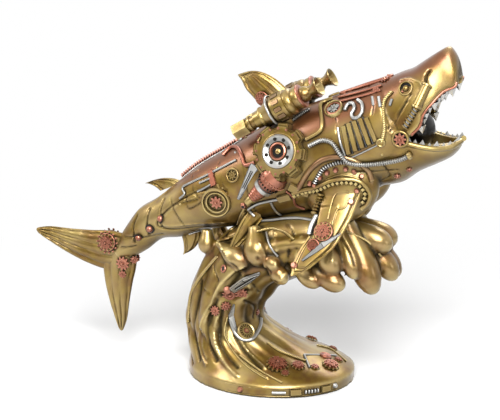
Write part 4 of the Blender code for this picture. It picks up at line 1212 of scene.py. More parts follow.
def foam_drop(root, tip, radius, slim, belly):
    """Foam drop: slim at its root, thickest at its belly and round at its tip."""
    length = (tip - root).length
    profile = []
    for share in [k / 12 for k in range(12)] + [0.96, 0.985, 0.999]:
        if share < belly:
            swell = slim + (1 - slim) * smooth_step(0.0, belly, share)
        else:
            swell = math.sqrt(1 - ((share - belly) / (1 - belly)) ** 2)
        profile.append((radius * swell, length * share))
    return turned(profile, root, tip - root, 40)


def drop_spray(mesh):
    """Where copper brown is sprayed on the ends of the drops."""
    values = []
    for vertex in mesh.vertices:
        place = Vector((vertex.co.x, -abs(vertex.co.y), vertex.co.z))
        most = 0.0
        for root, tip, radius, *form in DROPS:
            axis = Vector(tip) - Vector(root)
            share = (place - Vector(root)).dot(axis) / axis.length_squared
            if 0.3 < share < 1.1:
                away = (place - Vector(root) - axis * share).length
                if away < radius * 1.15:
                    most = max(most, smooth_step(0.3, 0.95, share))
        values.append(most * 0.55)
    return values


# Strands and cracks on the wave's side: points (x, z), half width and height in millimetres
WAVE_GROOVES = (
    (((-35.4, 83.5), (-32.4, 78.7), (-29.9, 73.9)), 0.9, -1.2),
    (((-46.6, 67.6), (-42.1, 65.5), (-37.2, 64.7)), 0.9, -1.2),
    (((-56.6, 32.1), (-56.4, 23.8), (-54.6, 15.6), (-50, 10)), 1.0, -1.3),
    (((-46, 70), (-47, 60), (-50, 45), (-50, 28), (-44, 15)), 2.2, -1.4),
    (((-31, 60), (-36, 47), (-37.5, 35), (-35, 26), (-29, 19)), 2.2, -1.5),
    (((-27.5, 52), (-29, 40), (-28, 31), (-22, 23), (-12, 17)), 2.0, -1.6),
    (((-18, 35), (-13, 28), (-5, 22), (4, 17)), 1.8, -1.4),
    (((-26.9, 63.6), (-20, 64.1), (-14.1, 65.8), (-9.9, 67)), 4.2, -2.4),
    (((-12, 60), (-9, 52), (-10, 44)), 1.6, -1.2),
    (((-26, 96), (-16, 88), (-8, 78), (-3, 66)), 1.4, -1.3),
    (((-12, 106), (2, 96), (10, 86)), 1.5, -1.4),
    (((24, 110), (22, 100), (20, 90), (14, 80)), 1.4, -1.4),
    (((36, 114), (34, 104), (30, 94), (22, 84)), 1.4, -1.4),
    (((50, 116), (56, 112), (64, 104), (68, 96)), 1.3, -1.2),
    (((18, 118), (24, 112), (28, 104)), 1.1, -1.0),
)
WAVE_RIDGES = (
    (((-11.3, 87.5), (-18.6, 82.5), (-27.8, 72.5), (-33.4, 62.1), (-35.8, 55.8)),
     1.9, 1.4),
    (((-36.5, 55.8), (-40.4, 48.6), (-42.6, 42.8), (-45.7, 29.0), (-41.9, 19.1), (-36.9, 14.0)),
     1.2, 1.2),
    (((-36.3, 51.2), (-39.5, 45.0), (-41.9, 35.3), (-41.0, 24.2), (-36.8, 18.0)), 1.1, 1.0),
    (((-30.5, 48.2), (-33.0, 40.2), (-32.3, 33.4), (-27.9, 24.0), (-20.1, 16.9), (-10.9, 12.3)),
     1.8, 1.4),
    (((-24.1, 47.0), (-25.2, 36.8), (-20.4, 28.6), (-11.2, 20.8), (-0.8, 16.1), (10.0, 12.6)),
     1.3, 1.3),
    (((-12.9, 30.9), (-8.4, 26.1), (0.0, 20.6), (7.2, 16.8)), 1.3, 1.1),
    (((-30, 100), (-20, 92), (-12, 82), (-8, 70)), 1.6, 1.1),
    (((10, 112), (14, 102), (14, 92)), 1.5, 1.0),
    (((30, 112), (28, 102), (25, 92), (18, 82)), 1.5, 1.0),
    (((44, 116), (50, 108), (54, 98)), 1.5, 1.0),
    (((2, 106), (6, 98), (6, 90)), 1.4, 0.9),
)


def make_wave():
    """Fuse the wave with its drops and carve its strands."""
    forms = [wave_form()]
    for root, tip, *form in DROPS:
        for side in SIDES:
            mirror = Vector((1, side, 1))
            forms.append(foam_drop(Vector(root) * mirror, Vector(tip) * mirror, *form))
    skin = fused(forms, WAVE_GRAIN, 4)
    flatten_underside(skin)
    plain = Surface(skin)
    rub(skin, carve(skin, plain.side_line, WAVE_GROOVES + WAVE_RIDGES))
    flatten_underside(skin)
    store(skin, "spray", drop_spray(skin))
    MADE["wave"] = Surface(skin)
    finish("wave_skin", skin, "gold")


def flatten_underside(mesh):
    """Keep the foot's underside flat on the floor."""
    for vertex in mesh.vertices:
        if vertex.co.z < FLAT_BELOW:
            vertex.co.z = 0.0


# Fins

def swept(root, out, back, across, high, chord, form, thickness, relief, sides=64, steps=7,
          full=1.0):
    """Fin with relief on both faces, from rows of shares."""
    rings = []
    for rise, lead, width, thick in refine(form, steps):
        start = root + out * rise * high + back * lead * chord
        end = start + back * width * chord
        points = []
        for k in range(sides):
            angle = 2 * math.pi * (k + 0.5) / sides
            share = 0.5 - 0.5 * math.cos(angle)
            bulge = math.sin(angle) * (1.15 - 0.3 * share) * thick * thickness / 2 * full
            face = math.copysign(min(abs(math.sin(angle)) * 2.2, 1.0), math.sin(angle))
            bulge += face * relief(share, rise, width * chord / MM) * MM
            points.append(start.lerp(end, share) + across * bulge)
        rings.append(points)
    return loft(rings)


def smooth_step(low, high, value):
    """Smooth rise from 0 to 1 between two values."""
    share = min(max((value - low) / (high - low), 0.0), 1.0)
    return share * share * (3 - 2 * share)


def rim_relief(share, rise, chord):
    """Raised rim along both edges with a groove inside it, in millimetres."""
    edge = min(share, 1 - share) * chord
    tip = max(1 - rise, 0.0) * 40
    near = min(edge, tip)
    return 0.45 - 0.85 * smooth_step(1.6, 2.4, near) + 0.75 * smooth_step(3.0, 4.2, near)


def dorsal_relief(share, rise, chord):
    """Two raised ribs that follow the leading edge, and cross grooves."""
    groove = 0.6 * math.exp(-((share - 0.30 - 0.1 * rise) * 14) ** 2)
    groove += 0.6 * math.exp(-((share - 0.62 + 0.05 * rise) * 14) ** 2)
    cross = 0.5 * math.exp(-((rise - 0.42 + 0.2 * share) * 16) ** 2)
    return rim_relief(share, rise, chord) - (groove + cross) * smooth_step(0.0, 0.15, 1 - rise)


def strands_relief(share, rise, chord):
    """Long ridged strands with notch lines, as on the tail's upper lobe."""
    strand = abs(math.cos(math.pi * (share * 4.0 + 0.35 * rise))) ** 0.6
    notch = 0.25 * math.exp(-((rise * 9 % 1.0 - 0.5) * 5) ** 2)
    return (strand * 1.2 - 0.7 - notch) * smooth_step(0.0, 0.12, 1.02 - rise)


def ridges_relief(share, rise, chord):
    """Smooth long ridges, as on the tail's lower lobe."""
    strand = abs(math.cos(math.pi * (share * 3.2 + 0.25 * rise))) ** 0.8
    return (strand * 1.3 - 0.7) * smooth_step(0.0, 0.12, 1.02 - rise)


def panel_relief(share, rise, chord):
    """Raised rim round a sunk panel, with a raised inner panel."""
    inner = min(share - 0.40, 0.86 - share) * chord
    raised = smooth_step(0.0, 1.2, inner) * smooth_step(0.22, 0.26, rise)
    raised *= smooth_step(0.0, 0.04, 0.68 - rise)
    return 1.5 * rim_relief(share, rise, chord) - 1.1 + 0.9 * raised


def heading(degrees):
    """Way in the shark's middle plane, in degrees from +X towards +Z."""
    angle = math.radians(degrees)
    return Vector((math.cos(angle), 0.0, math.sin(angle)))


def make_fins():
    """Dorsal, tail, anal, pelvic and pectoral fins."""
    shark = Shark()
    sizes = settings("fin_sizes")
    body = shark.sizes.body_length
    tall = shark.sizes.body_height
    back = -shark.ahead
    group = Group("fins")
    root = shark.at(0.760 * body, 0.47 * tall)
    group.add("gold", swept(root, shark.above, back, ACROSS, sizes.dorsal_height,
                            sizes.dorsal_chord, DORSAL_FORM, sizes.thickness, dorsal_relief))
    thin = sizes.thickness * 0.6
    point, out = shark.skin(0.305, 90)
    group.add("gold", swept(point, out, back, ACROSS, 0.007, 0.019, HOOKED_FORM, thin,
                            rim_relief))
    point, out = shark.skin(0.290, -90)
    group.add("gold", swept(point, out, back, ACROSS, 0.012, 0.017, HOOKED_FORM, thin,
                            rim_relief))
    root = shark.at(0.02 * body, -0.17 * tall)
    for degrees, turn, high, chord, relief in (
            (174.3, 90, sizes.upper_lobe, sizes.upper_chord, strands_relief),
            (265.4, -90, sizes.lower_lobe, sizes.lower_chord, ridges_relief)):
        sweep = heading(degrees + turn)
        group.add("gold", swept(root - sweep * chord * 0.42, heading(degrees), sweep, ACROSS,
                                high, chord, LOBE_FORM, sizes.thickness, relief, 96, 12))
    for side in SIDES:
        add_paired_fins(shark, sizes, side, thin, group)
    group.finish()


def pectoral_frame(shark, sizes, side):
    """Root, way out, sweep and way across of one side fin."""
    spread = math.radians(sizes.pectoral_spread)
    outward = Vector((0, -side, 0))
    out = heading(249.2) * math.cos(spread) + outward * math.sin(spread)
    sweep = heading(185.7)
    tall = shark.sizes.body_height
    share, rise = 0.796, -0.32 * tall
    row = body_row(share)
    high = (rise - row[1] * tall) / (row[2] * tall / 2)
    root = shark.skin(share, math.degrees(math.asin(max(high, -1.0))), side)[0]
    root = root - sweep * sizes.pectoral_chord * 0.36
    return root, out, sweep, out.cross(sweep).normalized()


def add_paired_fins(shark, sizes, side, thin, group):
    """Pectoral and pelvic fin of one side."""
    root, out, sweep, across = pectoral_frame(shark, sizes, side)
    group.add("gold", swept(root, out, sweep, across, sizes.pectoral, sizes.pectoral_chord,
                            PECTORAL_FORM, sizes.thickness, panel_relief, 128, 14, 0.9))
    root = shark.skin(0.50, -46.0, side)[0]
    out = Vector((0, -side, 0)) * 0.40 - shark.ahead * 0.80 - shark.above * 0.42
    out.normalize()
    across = out.cross(shark.above).normalized()
    group.add("gold", swept(root + shark.above * 0.0156 / 2, out, -shark.above, across, 0.029,
                            0.0156, PELVIC_FORM, thin, rim_relief))


class OrnamentSizes(bpy.types.PropertyGroup):
    """Sizes of the machine parts"""
    tank_length: length("Tank length", "Nut to nozzle", 0.070)
    tank_radius: length("Tank radius", "Radius of the barrel", 0.0100)
    tank_spacing: length("Tank spacing", "Between the tanks' middles", 0.034)
    tank_pitch: FloatProperty(name="Tank pitch", description="Climb of the tanks in degrees",
                              default=31.0)
    port_radius: length("Port radius", "Radius of the toothed port", 0.0166)
    window_radius: length("Window radius", "Radius of the round window", 0.0105)
    gauge_radius: length("Gauge radius", "Radius of the gauge", 0.0066)
    teeth: IntProperty(name="Teeth", description="Teeth on each side of each jaw", default=9,
                       min=2)


# Machine parts on the shark

# Tank profile: share of the length and share of the barrel's radius
TANK_FORM = (
    (0.12, 0.30), (0.16, 0.46), (0.19, 0.46), (0.195, 0.54), (0.215, 0.54), (0.22, 0.46),
    (0.26, 0.46), (0.27, 0.60), (0.33, 0.62), (0.34, 0.72), (0.36, 0.72), (0.37, 0.68),
    (0.42, 0.84), (0.45, 0.90), (0.455, 0.97), (0.475, 0.99), (0.48, 0.93), (0.49, 0.93),
    (0.495, 1.00), (0.53, 1.02), (0.60, 1.02), (0.64, 1.00), (0.645, 0.92), (0.66, 0.92),
    (0.665, 0.96), (0.69, 0.94), (0.71, 0.88), (0.72, 0.76), (0.735, 0.80), (0.775, 0.80),
    (0.79, 0.74), (0.80, 0.52), (0.83, 0.56), (0.86, 0.50), (0.89, 0.34), (0.92, 0.36),
    (0.97, 0.54), (0.99, 0.66), (1.00, 0.66), (0.995, 0.58), (0.95, 0.34), (0.91, 0.10),
)
NUT_FORM = ((0.00, 0.40), (0.012, 0.60), (0.165, 0.60), (0.18, 0.40))


def make_tanks():
    """Twin gas tanks with nozzles, one each side of the dorsal fin, on saddles."""
    shark = Shark()
    sizes = settings("ornament_sizes")
    group = Group("tanks")
    direction = heading(sizes.tank_pitch)
    radius = sizes.tank_radius
    seat = shark.at(0.548 * shark.sizes.body_length, 0.512 * shark.sizes.body_height)
    for side in SIDES:
        start = seat + Vector((0, -side * sizes.tank_spacing / 2, 0))
        for form, sides in ((TANK_FORM, 48), (NUT_FORM, 6)):
            profile = [(wide * radius, along * sizes.tank_length) for along, wide in form]
            group.add("gold", divided(turned(profile, start, direction, sides), 48 // sides))
        group.dish("copper", (start + direction * 0.80 * sizes.tank_length, direction),
                   ((7.6, -1.4), (8.3, -0.9), (8.3, 0.1), (7.4, 0.5)))
        turn = facing(direction).to_3x3()
        for k in range(TANK_BARS):
            out = turn @ round_way(k / TANK_BARS)
            middle = start + direction * 0.565 * sizes.tank_length + out * radius * 1.02
            half = direction * 0.038 * sizes.tank_length
            group.bar("bronze", middle - half, middle + half, out, 3.0, 1.0)
        foot = start + direction * sizes.tank_length * 0.55
        saddle = [foot + shark.above * radius * 0.2, foot - shark.above * radius * 0.8,
                  shark.at((foot - shark.origin).dot(shark.ahead), 0.38 * shark.sizes.body_height,
                           side * sizes.tank_spacing * 0.4)]
        group.rod("gold", saddle, radius * 0.5 / MM)
        strap = [foot + turn @ round_way(k / STRAP_STEPS) * radius * 1.12
                 for k in range(STRAP_STEPS + 1)]
        group.rod("silver", [point - direction * 5.5 * MM for point in strap], 0.8)
    group.finish()


def on_ring(spot, radius_mm, count, size, start=0.0, lift=0.0):
    """Spots spaced evenly on a ring round a spot."""
    place, normal = spot
    turn = facing(normal).to_3x3()
    return [(place + turn @ round_way((k + start) / count) * radius_mm * MM
             + normal * lift * MM, normal, size) for k in range(count)]


def toothed_plate(spot, radius_mm, tooth_mm, count, thick_mm, lift_mm):
    """Disc with block teeth, like the flange of the port."""
    place, normal = spot
    turn = facing(normal).to_3x3()
    corners = []
    for k in range(count):
        for share, reach in ((-0.36, 0.0), (-0.24, 1.0), (0.24, 1.0), (0.36, 0.0), (0.5, 0.0)):
            out = turn @ round_way((k + share) / count)
            corners.append(place + out * (radius_mm + reach * tooth_mm) * MM
                           + normal * (lift_mm - thick_mm / 2) * MM)
    return slab(corners, thick_mm * MM, normal, 0.5 * MM)


def make_ports():
    """Toothed port, stepped window, gauge and ringed gear on each flank."""
    shark = Shark()
    sizes = settings("ornament_sizes")
    surface = MADE["shark"]
    group = Group("ports")
    for side in SIDES:
        spot = shark.skin(0.674, 24.0, side)
        radius = sizes.port_radius / MM
        group.add("gold", toothed_plate(spot, radius, 3.1, 8, 8.0, 4.2))
        group.add("gold", toothed_plate(spot, radius * 0.94, 2.2, 8, 8.0, 5.3))
        group.dish("gold", spot, ((0.84, 2.0), (0.82, 5.0), (0.74, 5.4), (0.70, 4.0)), radius)
        group.dish("silver", spot, ((0.71, 3.0), (0.69, 6.2), (0.62, 7.2), (0.55, 6.6),
                                    (0.42, 6.0), (0.38, 4.0)), radius)
        # Black studs and a black dish of painted shade where the port's holes would be dark
        group.studs("black", on_ring(spot, radius * 0.515, 8, 1.25, 0.5, 5.2), 12, 1.0, 1.0, 1.35)
        group.dish("copper", spot, ((0.38, 4.0), (0.36, 6.6), (0.30, 7.0), (0.25, 5.2)), radius)
        group.dish("black", spot, ((0.27, 4.0), (0.26, 5.4), (0.05, 5.3)), radius)
        group.dish("gold", spot, ((0.12, 4.5), (0.11, 6.0), (0.03, 6.6)), radius)
        group.studs("copper", on_ring(spot, radius * 0.93, 16, 0.9, 0.25, 7.6))
        spot = shark.skin(0.42, -6.0, side)
        radius = sizes.window_radius / MM
        group.dish("gold", spot, ((1.0, -6.0), (1.0, 2.2), (0.94, 3.2), (0.86, 3.2), (0.82, 1.4),
                                  (0.74, 1.4), (0.70, 2.2), (0.62, 2.2), (0.57, -0.4),
                                  (0.05, -0.6)), radius)
        gear = (spot[0] + spot[1] * 0.2 * MM, spot[1], 4.4)
        group.gears("copper", [gear], 8, 0.70, 0.35)
        spot = surface.flank(201.2, 26.2, side)
        radius = sizes.gauge_radius / MM
        group.dish("gold", spot, ((1.0, -5.0), (1.0, 1.6), (0.90, 2.4), (0.80, 1.6), (0.78, 0.6)),
                   radius)
        group.dish("copper", spot, ((0.80, 0.2), (0.78, 1.2), (0.62, 1.4), (0.60, 0.3),
                                    (0.05, 0.3)), radius)
        place = spot[0] + spot[1] * 0.4 * MM
        group.gears("silver", [(place, spot[1], radius * 0.52)], 9, 0.72, 0.25)
        group.gears("silver", on_ring((place, spot[1]), radius * 0.42, 2, radius * 0.26, 0.2, 0.9),
                    7, 0.70, 0.35)
        spot = surface.flank(117, 10.8, side)
        group.ring("gold", (spot[0] + spot[1] * 0.5 * MM, spot[1]), 4.5, 0.75)
        place = spot[0] + spot[1] * 0.1 * MM
        group.gears("gold", [(place, spot[1], 3.3)], 8, 0.66, 0.22)
    group.finish()


# Snout station where the copper lip ends, below the tip; the teeth end a little before it
LIP_END = 5.3


def make_head():
    """Throat filled with a black ball of painted shade, eyes, teeth, lips, gills and the struts on
    the cheek.
    """
    shark = Shark()
    surface = MADE["all"]
    group = Group("head")
    # Black ball of painted shade in the throat, where the mouth is dark
    throat = shark.at(shark.sizes.body_length + 0.20 * shark.sizes.snout_length, -9.0 * MM)
    group.dish("black", (throat, (shark.ahead + shark.jaw_ahead).normalized()),
               dome(13.0, 0.0, 1.5, 17, 10.0), sides=32)
    for side in SIDES:
        add_eye(shark, group, side)
        add_teeth(shark, group, side)
        lip = []
        for position in np.linspace(0.8, LIP_END, 15):
            top, point, half_width = shark.snout(between(SNOUT_ROWS, position))
            up = (top - point).normalized()
            lip.append(point - up * shark.sizes.lip * 0.35
                       + Vector((0, -side, 0)) * half_width * 0.97)
        group.rod("copper", lip, 0.95)
        lip = []
        for position in np.linspace(0.7, 5.8, 13):
            point, half_width, deep = shark.jaw(between(JAW_ROWS, position))
            lip.append(point + shark.jaw_up * shark.sizes.lip * 0.2
                       + Vector((0, -side, 0)) * half_width * 0.97)
        group.rod("gold", lip, 1.9)
        add_gills(surface, group, side)
        add_cheek(surface, group, side)
    group.finish()


def add_eye(shark, group, side):
    """Gold eyeball in a socket painted black as painted shade, with a raised rim."""
    radius = shark.sizes.eye_radius
    top, lip, half_width = shark.snout(between(SNOUT_ROWS, 1.35))
    place = lip.lerp(top, 0.70) + Vector((0, -side * half_width * 0.74, 0))
    out = (Vector((0, -side, 0)) * 0.85 + shark.above * 0.45).normalized()
    rim = radius * 1.5 / MM
    group.dish("gold", (place, out), ((1.0, -rim), (1.0, 0.9), (0.92, 1.5), (0.80, 1.4),
                                      (0.72, 0.2)), rim)
    # Black of the socket: painted shade
    group.dish("black", (place, out), ((0.78, -1.0), (0.76, 0.4), (0.05, 0.3)), rim)
    group.dish("gold", (place, out), dome(radius * 0.66 / MM, 0.4, 1.5, 9))


def add_teeth(shark, group, side):
    """Pointed silver teeth of uneven size along both lips."""
    count = settings("ornament_sizes").teeth
    outward = Vector((0, -side, 0))
    upper = []
    lower = []
    for k in range(count):
        uneven = (1.0, 0.72, 0.90, 0.66)[k % 4]
        position = 1.2 + (LIP_END - 2.0) * k / (count - 1)
        top, lip, half_width = shark.snout(between(SNOUT_ROWS, position))
        up = (top - lip).normalized()
        upper.append((lip + outward * (half_width * 0.90 - 1.4 * MM) - up * 1.5 * MM,
                      (-up - outward * 0.10 - shark.ahead * 0.30).normalized(), 3.5 * uneven))
        position = 1.2 + 3.7 * k / (count - 1)
        middle, half_width, deep = shark.jaw(between(JAW_ROWS, position))
        lower.append((middle + outward * (half_width * 0.90 - 1.4 * MM)
                      + shark.jaw_up * 1.0 * MM,
                      (shark.jaw_up - outward * 0.05).normalized(), 3.1 * uneven))
    group.studs("silver", upper, 5, 0.03, 1.0, 1.6)
    group.studs("silver", lower, 5, 0.03, 1.0, 1.4)


def add_gills(surface, group, side):
    """Five slanted slats with black rods of painted shade in the gaps between them, and silver rods
    at the edges.
    """
    tops = ((205.4, 14.1), (209.2, 14.5), (213.2, 14.5), (217.6, 14.5), (221.8, 13.6))
    bottoms = ((202.2, -4.4), (207.4, -4.0), (212.6, -3.8), (217.6, -3.6), (222.4, -3.0))
    for upper, lower in zip(tops, bottoms):
        group.wedge("gold", *surface.flank_ends(upper, lower, side, 0.7), (3.1, 2.6), 2.2, 0.35)
    ends = list(zip(tops, bottoms))
    # Black rods of painted shade in the gaps between the slats
    for (upper, lower), (later, last) in zip(ends, ends[1:]):
        gap = [((upper[0] + later[0]) / 2, (upper[1] + later[1]) / 2 + 0.6),
               ((lower[0] + last[0]) / 2, (lower[1] + last[1]) / 2 - 0.6)]
        group.rod("black", surface.flank_line(gap, side, 0.6), 0.85)
    edge = surface.flank_line(((201.5, 14.5), (200, 5), (199.5, -4)), side, 0.5)
    group.rod("silver", edge, 0.9)
    edge = surface.flank_line(((200, -7), (210, -6.6), (224, -5.6)), side, 0.4)
    group.rod("silver", edge, 0.55)


def add_cheek(surface, group, side):
    """Strut with its spring, the jaw's pivot, short bars and the braided hose."""
    first = surface.flank(267.1, 17.8, side, 1.4)[0]
    second = surface.flank(255.3, 6.8, side, 1.8)[0]
    third = surface.flank(244.0, -1.6, side, 1.4)[0]
    group.rod("gold", [first, first.lerp(second, 0.5), second], 3.2)
    way = (second - first).normalized()
    for share in (0.04, 0.94):
        group.dish("gold", (first.lerp(second, share), way), ((3.2, -0.9), (3.8, -0.5), (3.8, 0.5),
                                                              (3.2, 0.9)))
    group.spring("gold", [second, second.lerp(third, 0.5), third], 2.7, 2.1)
    group.rod("silver", [second, third], 1.5)
    # Black disc of painted shade under the jaw's pivot
    group.disc("black", surface.flank(237.8, -7.8, side, 0.1), 4.6, 20, 0.1)
    group.ring("gold", surface.flank(237.8, -7.8, side, 0.8), 5.0, 1.0)
    group.gears("copper", [(*surface.flank(237.8, -7.8, side, 0.5), 4.2)], 8, 0.66, 0.40)
    chin = [(*surface.flank(223.5, -30.7, side, 0.2), 2.3),
            (*surface.flank(233.0, -29.4, side, 0.2), 2.0)]
    group.gears("copper", chin, 7, 0.70, 0.35)
    for start, end in (((228.7, 24.4), (228.4, 18.9)), ((233.0, 22.9), (232.7, 16.5)),
                       ((241.6, 18.2), (238.8, 14.7))):
        group.bar("silver", *surface.flank_ends(start, end, side, 0.3), 1.7, 1.0)
    braided = surface.flank_line(((242.3, 22.0), (235.3, 17.4), (231.3, 3.1), (226.0, -4.6)),
                                 side, 0.9)
    group.rope("gold", braided, 1.5)
    group.dish("gold", surface.flank(225.0, -5.0, side), ((3.0, -1.0), (3.0, 1.4), (2.2, 2.0),
                                                          (1.6, 1.6)))


# Lines on each flank: points along and above the body line, radius in millimetres and lift
FLANK_RODS = (
    ("silver", ((70.1, 8.8), (74.9, 10.6), (74.4, 14.3), (79, 15.6), (98.5, 16.8), (103.2, 17.4),
                (122.6, 19.2)), 0.8, 0.5),
    ("silver", ((89.9, 13.7), (94.5, 13.9), (99.1, 14.1)), 0.75, 0.5),
    ("silver", ((86.2, 9.1), (92.4, 9.6), (98.6, 10.1)), 0.75, 0.5),
    ("copper", ((111.8, 24.7), (118.2, 27.1), (124.3, 25.7), (127.5, 20.5), (129.1, 14),
                (136.6, 13.2)), 1.4, 0.9),
    ("gold", ((178, 15), (188.8, 16.4), (191.9, 21.4), (191.5, 30.5), (194.4, 32),
              (200.1, 31.8)), 1.4, 0.9),
    ("copper", ((204.3, 33.5), (222.7, 31.4), (236.4, 30.4)), 0.9, 0.6),
    ("copper", ((204.3, 31.2), (222.7, 29.0), (236.0, 28.0)), 0.9, 0.6),
    ("copper", ((205.0, 28.8), (222.7, 26.6), (235.0, 25.7)), 0.9, 0.6),
    ("silver", ((117.0, -14.8), (126.9, -13.5), (141.1, -15.4)), 1.0, 0.8),
    ("silver", ((135.4, -15.5), (134.2, -22.2), (134.7, -27.0)), 0.9, 0.7),
    ("silver", ((117.0, -14.8), (117.4, -18.0), (118.3, -21.2)), 0.9, 0.7),
    ("gold", ((115.4, -13.0), (108.5, -17.6), (101.5, -22.4)), 1.1, 1.0),
    ("gold", ((113.6, -15.4), (106.7, -20.0), (99.7, -24.8)), 1.1, 1.0),
    ("gold", ((180.2, -14.7), (191.0, -15.4), (200.6, -21.8), (204.1, -29.2)), 0.6, 0.3),
    ("gold", ((192.0, -27.3), (182.5, -25.9), (174.2, -38.3)), 0.6, 0.2),
    ("gold", ((175.3, -43.1), (181.2, -35.4), (186.5, -35.8), (190.8, -31.3)), 0.6, 0.2),
    ("silver", ((60, -18), (76, -21.5), (94, -25.5)), 0.6, 0.3),
    ("gold", ((142, 25), (150, 31), (160, 33), (170, 30)), 1.0, 0.6),
    ("copper", ((150, -12), (152, -18), (150, -24), (153, -29)), 0.9, 0.5),
)
# Gears on each flank: along, rise, radius in millimetres and teeth
FLANK_GEARS = (
    (238.0, 30.3, 3.4, 8), (3.7, -20.5, 5.2, 10), (11.5, -21.1, 3.0, 8),
    (-0.7, -27.8, 3.0, 8), (232.0, 27.0, 2.6, 8),
    (143.5, 27.5, 2.6, 8),
)
# Screws, rivets and balls on each flank: along, rise, radius in millimetres, paint and sides
FLANK_STUDS = (
    (115.1, -11.4, 2.4, "copper", 16), (196.8, -29.1, 2.2, "copper", 6),
    (191.2, -34.0, 2.6, "copper", 6), (144.1, -57.5, 2.6, "copper", 6),
    (100.8, 16.2, 1.4, "gold", 8),
    (100.8, 11.0, 1.4, "gold", 8), (69.0, 5.0, 0.9, "gold", 10), (106.0, 5.0, 0.9, "gold", 10),
    (106.0, 19.0, 0.9, "gold", 10), (122.0, 24.0, 0.9, "silver", 10),
    (205.0, -12.0, 0.9, "gold", 10), (222.0, -13.0, 0.9, "gold", 10),
    (130.0, 30.0, 1.0, "gold", 10), (250.0, 20.0, 1.0, "copper", 10),
    (214.0, 34.0, 1.2, "gold", 10), (196.0, 1.0, 1.2, "gold", 10),
)
# Bars and blocks on each flank: two places, width and thickness in millimetres, and paint
FLANK_BARS = (
    ((100.7, 18.6), (100.7, 8.4), 4.2, 2.6, "copper"),
    ((101.6, 8.6), (102.4, 4.6), 4.6, 2.4, "gold"),
    ((141.5, -15.4), (150.8, -16.2), 4.6, 3.4, "gold"),
    ((154.0, -9.6), (158.2, -14.6), 5.4, 3.2, "gold"),
    ((160.0, -16.5), (163.5, -20.0), 4.0, 2.4, "gold"),
)


def make_flank_trim():
    """Pipes, rods, gears, screws and bars on both flanks."""
    surface = MADE["all"]
    group = Group("flank")
    for side in SIDES:
        for colour, points, radius, lift in FLANK_RODS:
            group.rod(colour, surface.flank_line(points, side, lift), radius)
        for along, rise, radius, teeth in FLANK_GEARS:
            spot = (*surface.flank(along, rise, side, 0.3), radius)
            group.gears("copper", [spot], teeth, 0.72, 0.30)
        for along, rise, radius, colour, sides in FLANK_STUDS:
            spot = (*surface.flank(along, rise, side, -0.1), radius)
            group.studs(colour, [spot], sides, 0.62, 1.0, 0.75)
        for first, second, width, thick, colour in FLANK_BARS:
            group.bar(colour, *surface.flank_ends(first, second, side, 0.4), width, thick)
        add_bar_slots(surface, group, side)
        add_cone_stack(surface, group, side)
        add_hoses(surface, group, side)
        add_rings(surface, group, side)
    group.finish()


def add_bar_slots(surface, group, side):
    """Silver wedge with a rod in its slot, which is a black bar of painted shade, and balls in the
    tail stock's sockets on black discs of painted shade.
    """
    first, out = surface.flank(136.4, 11.6, side, 0.6)
    second, out = surface.flank(114.4, -5.6, side, 0.3)
    group.wedge("silver", first, second, out, (6.2, 1.6), 2.6, 0.5)
    start, end = first.lerp(second, 0.16) + out * 1.1 * MM, first.lerp(second, 0.66)
    end = end + out * 1.1 * MM
    # Black bar of painted shade for the slot
    group.bar("black", start, end, out, 1.7, 0.9, 0.1)
    group.rod("silver", [start + out * 0.3 * MM, end + out * 0.3 * MM], 0.35)
    # Black discs of painted shade in the sockets, under the copper balls
    for along, rise in ((25.1, -6.7), (37.0, -3.9), (49.2, 0.0)):
        spot = surface.flank(along, rise, side, 0.15)
        group.disc("black", spot, 3.6, 16, 0.1)
        group.dish("copper", spot, dome(2.5, 0.3, 1.5, 8), sides=20)


def add_cone_stack(surface, group, side):
    """Crown gear, beads, silver band, ribs and brass tip, stacked along the flank."""
    start = surface.flank(151.0, 1.0, side, 0.4)[0]
    end = surface.flank(116.5, -11.0, side, 0.2)[0]
    way = (end - start).normalized()
    reach = (end - start).length / MM
    crown = ((0.00, 8.2), (0.10, 9.6), (0.16, 9.6), (0.18, 7.8), (0.24, 7.8), (0.30, 8.2),
             (0.34, 7.4), (0.36, 6.4), (0.50, 6.2), (0.52, 5.0), (0.55, 5.0), (0.57, 5.4),
             (0.60, 4.6), (0.63, 5.0), (0.66, 4.2), (0.69, 4.5), (0.72, 3.7), (0.75, 4.0),
             (0.78, 3.2), (0.80, 2.4))
    group.dish("copper", (start, way), [(wide, share * reach) for share, wide in crown])
    group.dish("silver", (start.lerp(end, 0.43), way), ((6.2, -1.9), (7.2, -1.4), (7.0, 1.4),
                                                        (6.0, 1.9)))
    group.dish("gold", (start.lerp(end, 0.78), way), ((2.6, -0.4), (3.0, 0.2), (2.8, 5.4),
                                                      (1.4, 6.4)))
    teeth = on_ring((start.lerp(end, 0.13), way), 9.4, 26, 0.95)
    group.studs("copper", teeth, 6, 0.7, 1.0, 2.0)
    # Black studs of painted shade between the beads, and a black disc of painted shade in the
    # copper stud's middle
    spots = on_ring((start.lerp(end, 0.28), way), 8.3, 22, 0.8)
    group.studs("black", spots, 6, 0.8, 1.0, 1.0)
    group.disc("black", surface.flank(115.1, -11.4, side, 1.5), 1.1, 12, 0.3)


